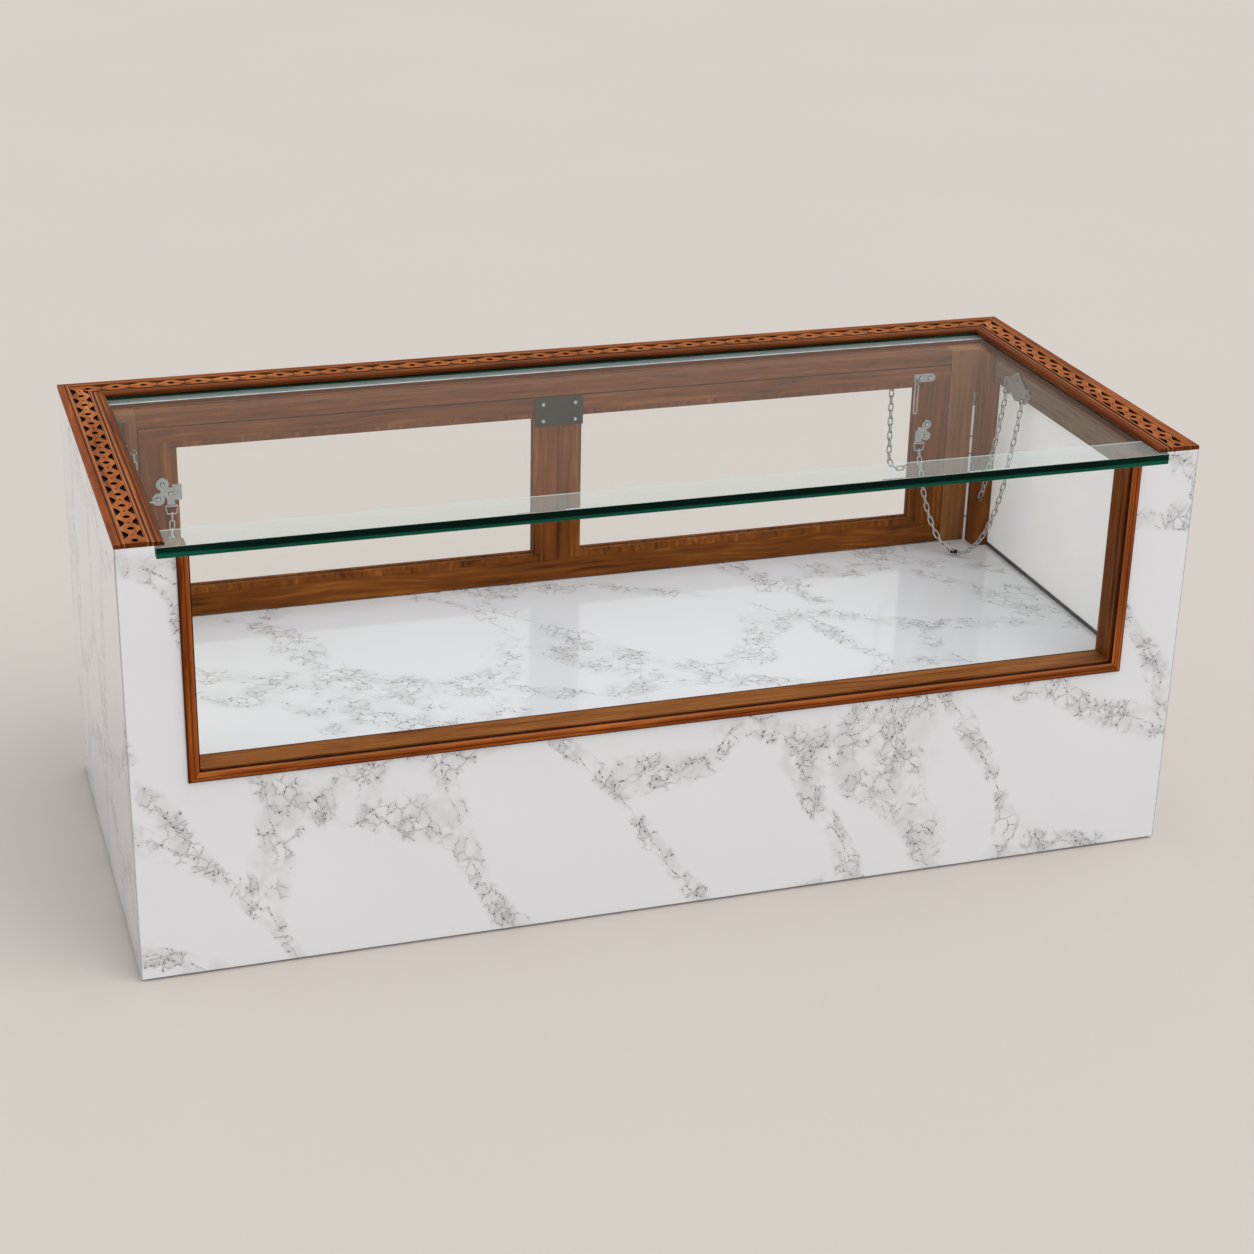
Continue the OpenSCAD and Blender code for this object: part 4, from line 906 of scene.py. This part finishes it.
def stadium(count):
    """Points of a loop with straight sides and round ends, long in X, and their outward
    directions: the centre of each point's circle plus the radius along the direction."""
    angle = (np.arange(count) + 0.5) / count * 2 * np.pi
    outward = np.column_stack([np.cos(angle), np.sin(angle), np.zeros(count)])
    half = (link_length - link_width) / 2
    centre = np.column_stack([np.sign(outward[:, 0]) * half, np.zeros((count, 2))])
    return centre + outward * (link_width / 2 - wire_r), outward


def tube_faces(loops, count, sides):
    """Quads round every closed loop: corner (i, j) joins (i + 1, j), (i + 1, j + 1), (i, j + 1)."""
    i, j = np.meshgrid(np.arange(count), np.arange(sides), indexing="ij")
    i2, j2 = (i + 1) % count, (j + 1) % sides
    one = np.stack([i * sides + j, i2 * sides + j, i2 * sides + j2, i * sides + j2], -1)
    return (one.reshape(1, -1, 4) + np.arange(loops)[:, None, None] * count * sides).reshape(-1, 4)


def chain_surface(points, roll_start, roll_end):
    """Vertices of all the links, and how far along the chain each lies, from 0 to 1. A wire
    point is the loop's point plus the wire's radius times cos v outwards and sin v upwards. The
    links roll evenly from one angle to the other, and every second one a quarter turn more."""
    links = len(points) - 1
    loop, outward = stadium(around_count)
    v = np.arange(wire_count) / wire_count * 2 * np.pi
    up = np.array([0.0, 0.0, 1.0])
    wire = (loop[:, None] + wire_r * (np.cos(v)[None, :, None] * outward[:, None]
                                      + np.sin(v)[None, :, None] * up))
    along = np.diff(points, axis=0)
    along /= np.linalg.norm(along, axis=1, keepdims=True)
    turn = np.radians(np.linspace(roll_start, roll_end, links) + np.arange(links) % 2 * 90)
    side = np.cross(up, along)
    side /= np.linalg.norm(side, axis=1, keepdims=True)
    top = np.cross(along, side)
    rolled_side = side * np.cos(turn)[:, None] + top * np.sin(turn)[:, None]
    rolled_top = np.cross(along, rolled_side)
    axes = np.stack([along, rolled_side, rolled_top], 1)
    middle = (points[:-1] + points[1:]) / 2
    vertices = np.einsum("ijk,lkm->lijm", wire, axes) + middle[:, None, None]
    place = (np.arange(links)[:, None, None] + 0.5 + wire[None, ..., 0] / link_pitch) / links
    return vertices.reshape(-1, 3), np.clip(place, 0, 1).reshape(-1)


print("corners in a link:", around_count * wire_count)


# %% A bent wire
bent_sides = 10


def tube(path, radius, sides):
    """A closed wire through the points of a path that lies square to Y: at each point a ring of
    the given radius, square to the mean of the two directions that meet there."""
    ahead = np.roll(path, -1, 0) - path
    ahead /= np.linalg.norm(ahead, axis=1, keepdims=True)
    mean = ahead + np.roll(ahead, 1, 0)
    mean /= np.linalg.norm(mean, axis=1, keepdims=True)
    normal = np.array([0.0, 1.0, 0.0])
    other = np.cross(mean, normal)
    v = np.arange(sides) / sides * 2 * np.pi
    ring = np.cos(v)[None, :, None] * normal + np.sin(v)[None, :, None] * other[:, None]
    return (path[:, None] + radius * ring).reshape(-1, 3)


def rounded(corners, radius, steps=5):
    """A closed path with each corner replaced by a short curve through quadratic blends."""
    before = np.roll(corners, 1, 0) - corners
    after = np.roll(corners, -1, 0) - corners
    before *= radius / np.linalg.norm(before, axis=1, keepdims=True)
    after *= radius / np.linalg.norm(after, axis=1, keepdims=True)
    t = np.linspace(0, 1, steps)[None, :, None]
    path = ((corners + before)[:, None] * (1 - t) ** 2 + corners[:, None] * 2 * t * (1 - t)
            + (corners + after)[:, None] * t ** 2)
    return path.reshape(-1, 3)


def outwards(mesh):
    """Turns the faces of a closed mesh to look outwards."""
    work = bmesh.new()
    work.from_mesh(mesh)
    bmesh.ops.recalc_face_normals(work, faces=work.faces)
    work.to_mesh(mesh)
    work.free()


print("a bent wire has", bent_sides, "sides")

# %% [markdown]
# Each stay runs from a bar on the door to an eye on the case's wall plate.


# %% The two stay chains
end_top_half, end_foot_half, end_high = 0.007, 0.0055, 0.010
end_wire_r, end_corner_r = 0.0008, 0.0012
foot_below_bar = 0.00065


def stay(node, bar, eye, links, roll_start, roll_end):
    """bar is where the first link meets the end link on the door, eye where the last meets
    the wall plate. The end link is a bent wire that is wider at its top than at its foot."""
    points = catenary(np.array(bar), np.array(eye), links)
    vertices, along = chain_surface(points, roll_start, roll_end)
    faces = tube_faces(links, around_count, wire_count)
    corners = np.array([[-end_top_half, 0, end_high], [end_top_half, 0, end_high],
                        [end_foot_half, 0, 0], [-end_foot_half, 0, 0]])
    foot = np.array([bar[0], bar[1], bar[2] - foot_below_bar])
    path = rounded(corners + foot, end_corner_r)
    end_link = tube(path, end_wire_r, bent_sides)
    end_faces = tube_faces(1, len(path), bent_sides) + len(vertices)
    mesh = bpy.data.meshes.new(node + "_links")
    mesh.from_pydata(np.vstack([vertices, end_link]), [], np.vstack([faces, end_faces]))
    mesh.shade_smooth()
    outwards(mesh)
    piece = add_piece(mesh, nickel)
    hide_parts(node)
    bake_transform(piece)
    share = np.concatenate([1 - along, np.ones(len(end_link))]).astype(np.float32)
    print(node, "lowest point", round(float(vertices[:, 2].min()), 4), "m")
    return points


def heading(bar, eye):
    """The direction from the bar to the eye, in degrees from the X axis."""
    return math.degrees(math.atan2(eye[1] - bar[1], eye[0] - bar[0]))


def nearest_turn(angle, other):
    """The angle, give or take half turns, as near as it gets to the other one: a link looks the
    same after a half turn."""
    return angle + 180 * round((other - angle) / 180)


# The stays' ends are where the solids have them.
link_count = 40
bar_y = 0.1658
eye_x, eye_y, eye_z = 0.5416, 0.058, 0.44275
left_bar, left_eye = (-0.488, bar_y, 0.35775), (-eye_x, eye_y, eye_z)
right_bar, right_eye = (0.458, bar_y, 0.35325), (eye_x, eye_y, eye_z)
stay_points = {}
for node, bar, eye in (("stay_chain_left", left_bar, left_eye),
                       ("stay_chain_right", right_bar, right_eye)):
    start = heading(bar, eye)
    stay_points[node] = stay(node, bar, eye, link_count, start, nearest_turn(90 - start, start))

# %% [markdown]
# The right stay has a small dark joiner at its lowest point, where two lengths of chain meet. It is
# turned like a barrel with a waist: a radius that depends on the place along its axis, carried
# round.


# %% The joiner on the right stay
def waisted_barrel(length, radius, rings=17, sides=20):
    """Rings along X: with t from almost -1 to almost 1, the radius is the square root of 1 - t to
    the fourth, times a waist that grows from 0.62 at the middle to 1 at the ends."""
    t = np.linspace(-0.985, 0.985, rings)[:, None]
    v = (np.arange(sides) / sides * 2 * np.pi)[None]
    reach = radius * np.sqrt(1 - t ** 4) * (0.62 + 0.38 * np.abs(t) ** 1.3)
    surface = np.stack([t * length / 2 + 0 * v, reach * np.cos(v), reach * np.sin(v)], -1)
    i, j = np.meshgrid(np.arange(rings - 1), np.arange(sides), indexing="ij")
    j2 = (j + 1) % sides
    quads = np.stack([i * sides + j, i * sides + j2, (i + 1) * sides + j2, (i + 1) * sides + j], -1)
    caps = [list(range(sides)), list(range((rings - 1) * sides, rings * sides))]
    return surface.reshape(-1, 3), quads.reshape(-1, 4).tolist() + caps


joiner_long, joiner_r, joiner_lift = 0.0095, 0.0042, 0.0004


def joiner(points):
    """The barrel at the chain's lowest point, turned to lie along the chain's run."""
    lowest = int(np.argmin(points[:, 2]))
    across = points[-1, :2] - points[0, :2]
    forward = np.array([*across, 0.0]) / np.hypot(*across)
    axes = np.array([forward, [-forward[1], forward[0], 0.0], [0.0, 0.0, 1.0]])
    vertices, faces = waisted_barrel(joiner_long, joiner_r)
    lift = np.array([0.0, 0.0, joiner_lift])
    mesh = bpy.data.meshes.new("stay_joiner")
    mesh.from_pydata(vertices @ axes + points[lowest] + lift, [], faces)
    mesh.shade_smooth()
    outwards(mesh)
    piece = add_piece(mesh, dark_joiner)
    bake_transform(piece)
    print("joiner at link", lowest, "of", len(points) - 1)


joiner(stay_points["stay_chain_right"])

# %% [markdown]
# The stage: one wide pale floor. The camera looks down, so the floor fills the picture, and the
# world only shows in reflections and from other sides.


# %% Floor
backdrop = rgb(216, 208, 199)
floor_dark = rgb(214, 206, 197)


def floor_finish():
    """Two close tones, and no gloss."""
    shader = Shader("pale_floor")
    mottle = shader.noise(shader.place(), 1.5, 2.0)
    colour = shader.mix(mottle, backdrop, floor_dark)
    return shader.done(shader.principled(base_color=colour, roughness=0.9,
                                         specular_ior_level=0.0))


floor_half = 30.0
floor_mesh = bpy.data.meshes.new("floor")
floor_mesh.from_pydata([(-floor_half, -floor_half, 0), (floor_half, -floor_half, 0),
                        (floor_half, floor_half, 0), (-floor_half, floor_half, 0)], [],
                       [(0, 1, 2, 3)])
add_piece(floor_mesh, floor_finish())
print("floor:", 2 * floor_half, "m wide")

# %% [markdown]
# The light is plain and soft: an even sky, and one broad lamp from the front right, high up. What
# the camera, the glass and the metal see of the world is the backdrop's own colour.

# %% World
sky_colour, sky_strength = (0.99, 1.0, 1.035, 1.0), 0.78
world = bpy.data.worlds.new("studio")
world.use_nodes = True
bpy.context.scene.world = world
tree = world.node_tree
tree.nodes.clear()
path = tree.nodes.new("ShaderNodeLightPath")
seen = tree.nodes.new("ShaderNodeMath")
seen.operation = "MAXIMUM"
seen_through = tree.nodes.new("ShaderNodeMath")
seen_through.operation = "MAXIMUM"
sky = tree.nodes.new("ShaderNodeBackground")
sky.inputs["Color"].default_value = sky_colour
sky.inputs["Strength"].default_value = sky_strength
shown = tree.nodes.new("ShaderNodeBackground")
shown.inputs["Color"].default_value = backdrop
shown.inputs["Strength"].default_value = 1.0
either = tree.nodes.new("ShaderNodeMixShader")
world_output = tree.nodes.new("ShaderNodeOutputWorld")
for source, target in (
        (path.outputs["Is Camera Ray"], seen.inputs[0]),
        (path.outputs["Is Glossy Ray"], seen.inputs[1]),
        (seen.outputs[0], seen_through.inputs[0]),
        (path.outputs["Is Transmission Ray"], seen_through.inputs[1]),
        (seen_through.outputs[0], either.inputs[0]), (sky.outputs[0], either.inputs[1]),
        (shown.outputs[0], either.inputs[2]), (either.outputs[0], world_output.inputs[0])):
    tree.links.new(source, target)
print("sky: strength", sky_strength)

# %% Lamp
lamp_turn, lamp_tilt = math.radians(44), math.radians(35)
lamp_data = bpy.data.lights.new("key", "SUN")
lamp_data.energy = 0.9
lamp_data.angle = math.radians(50)
lamp = bpy.data.objects.new("key", lamp_data)
lamp.matrix_world = Matrix.Rotation(lamp_turn, 4, "Z") @ Matrix.Rotation(lamp_tilt, 4, "X")
bpy.context.scene.collection.objects.link(lamp)
bpy.context.scene.view_settings.view_transform = "Standard"
print("lamp:", round(math.degrees(lamp_data.angle)), "degrees wide")
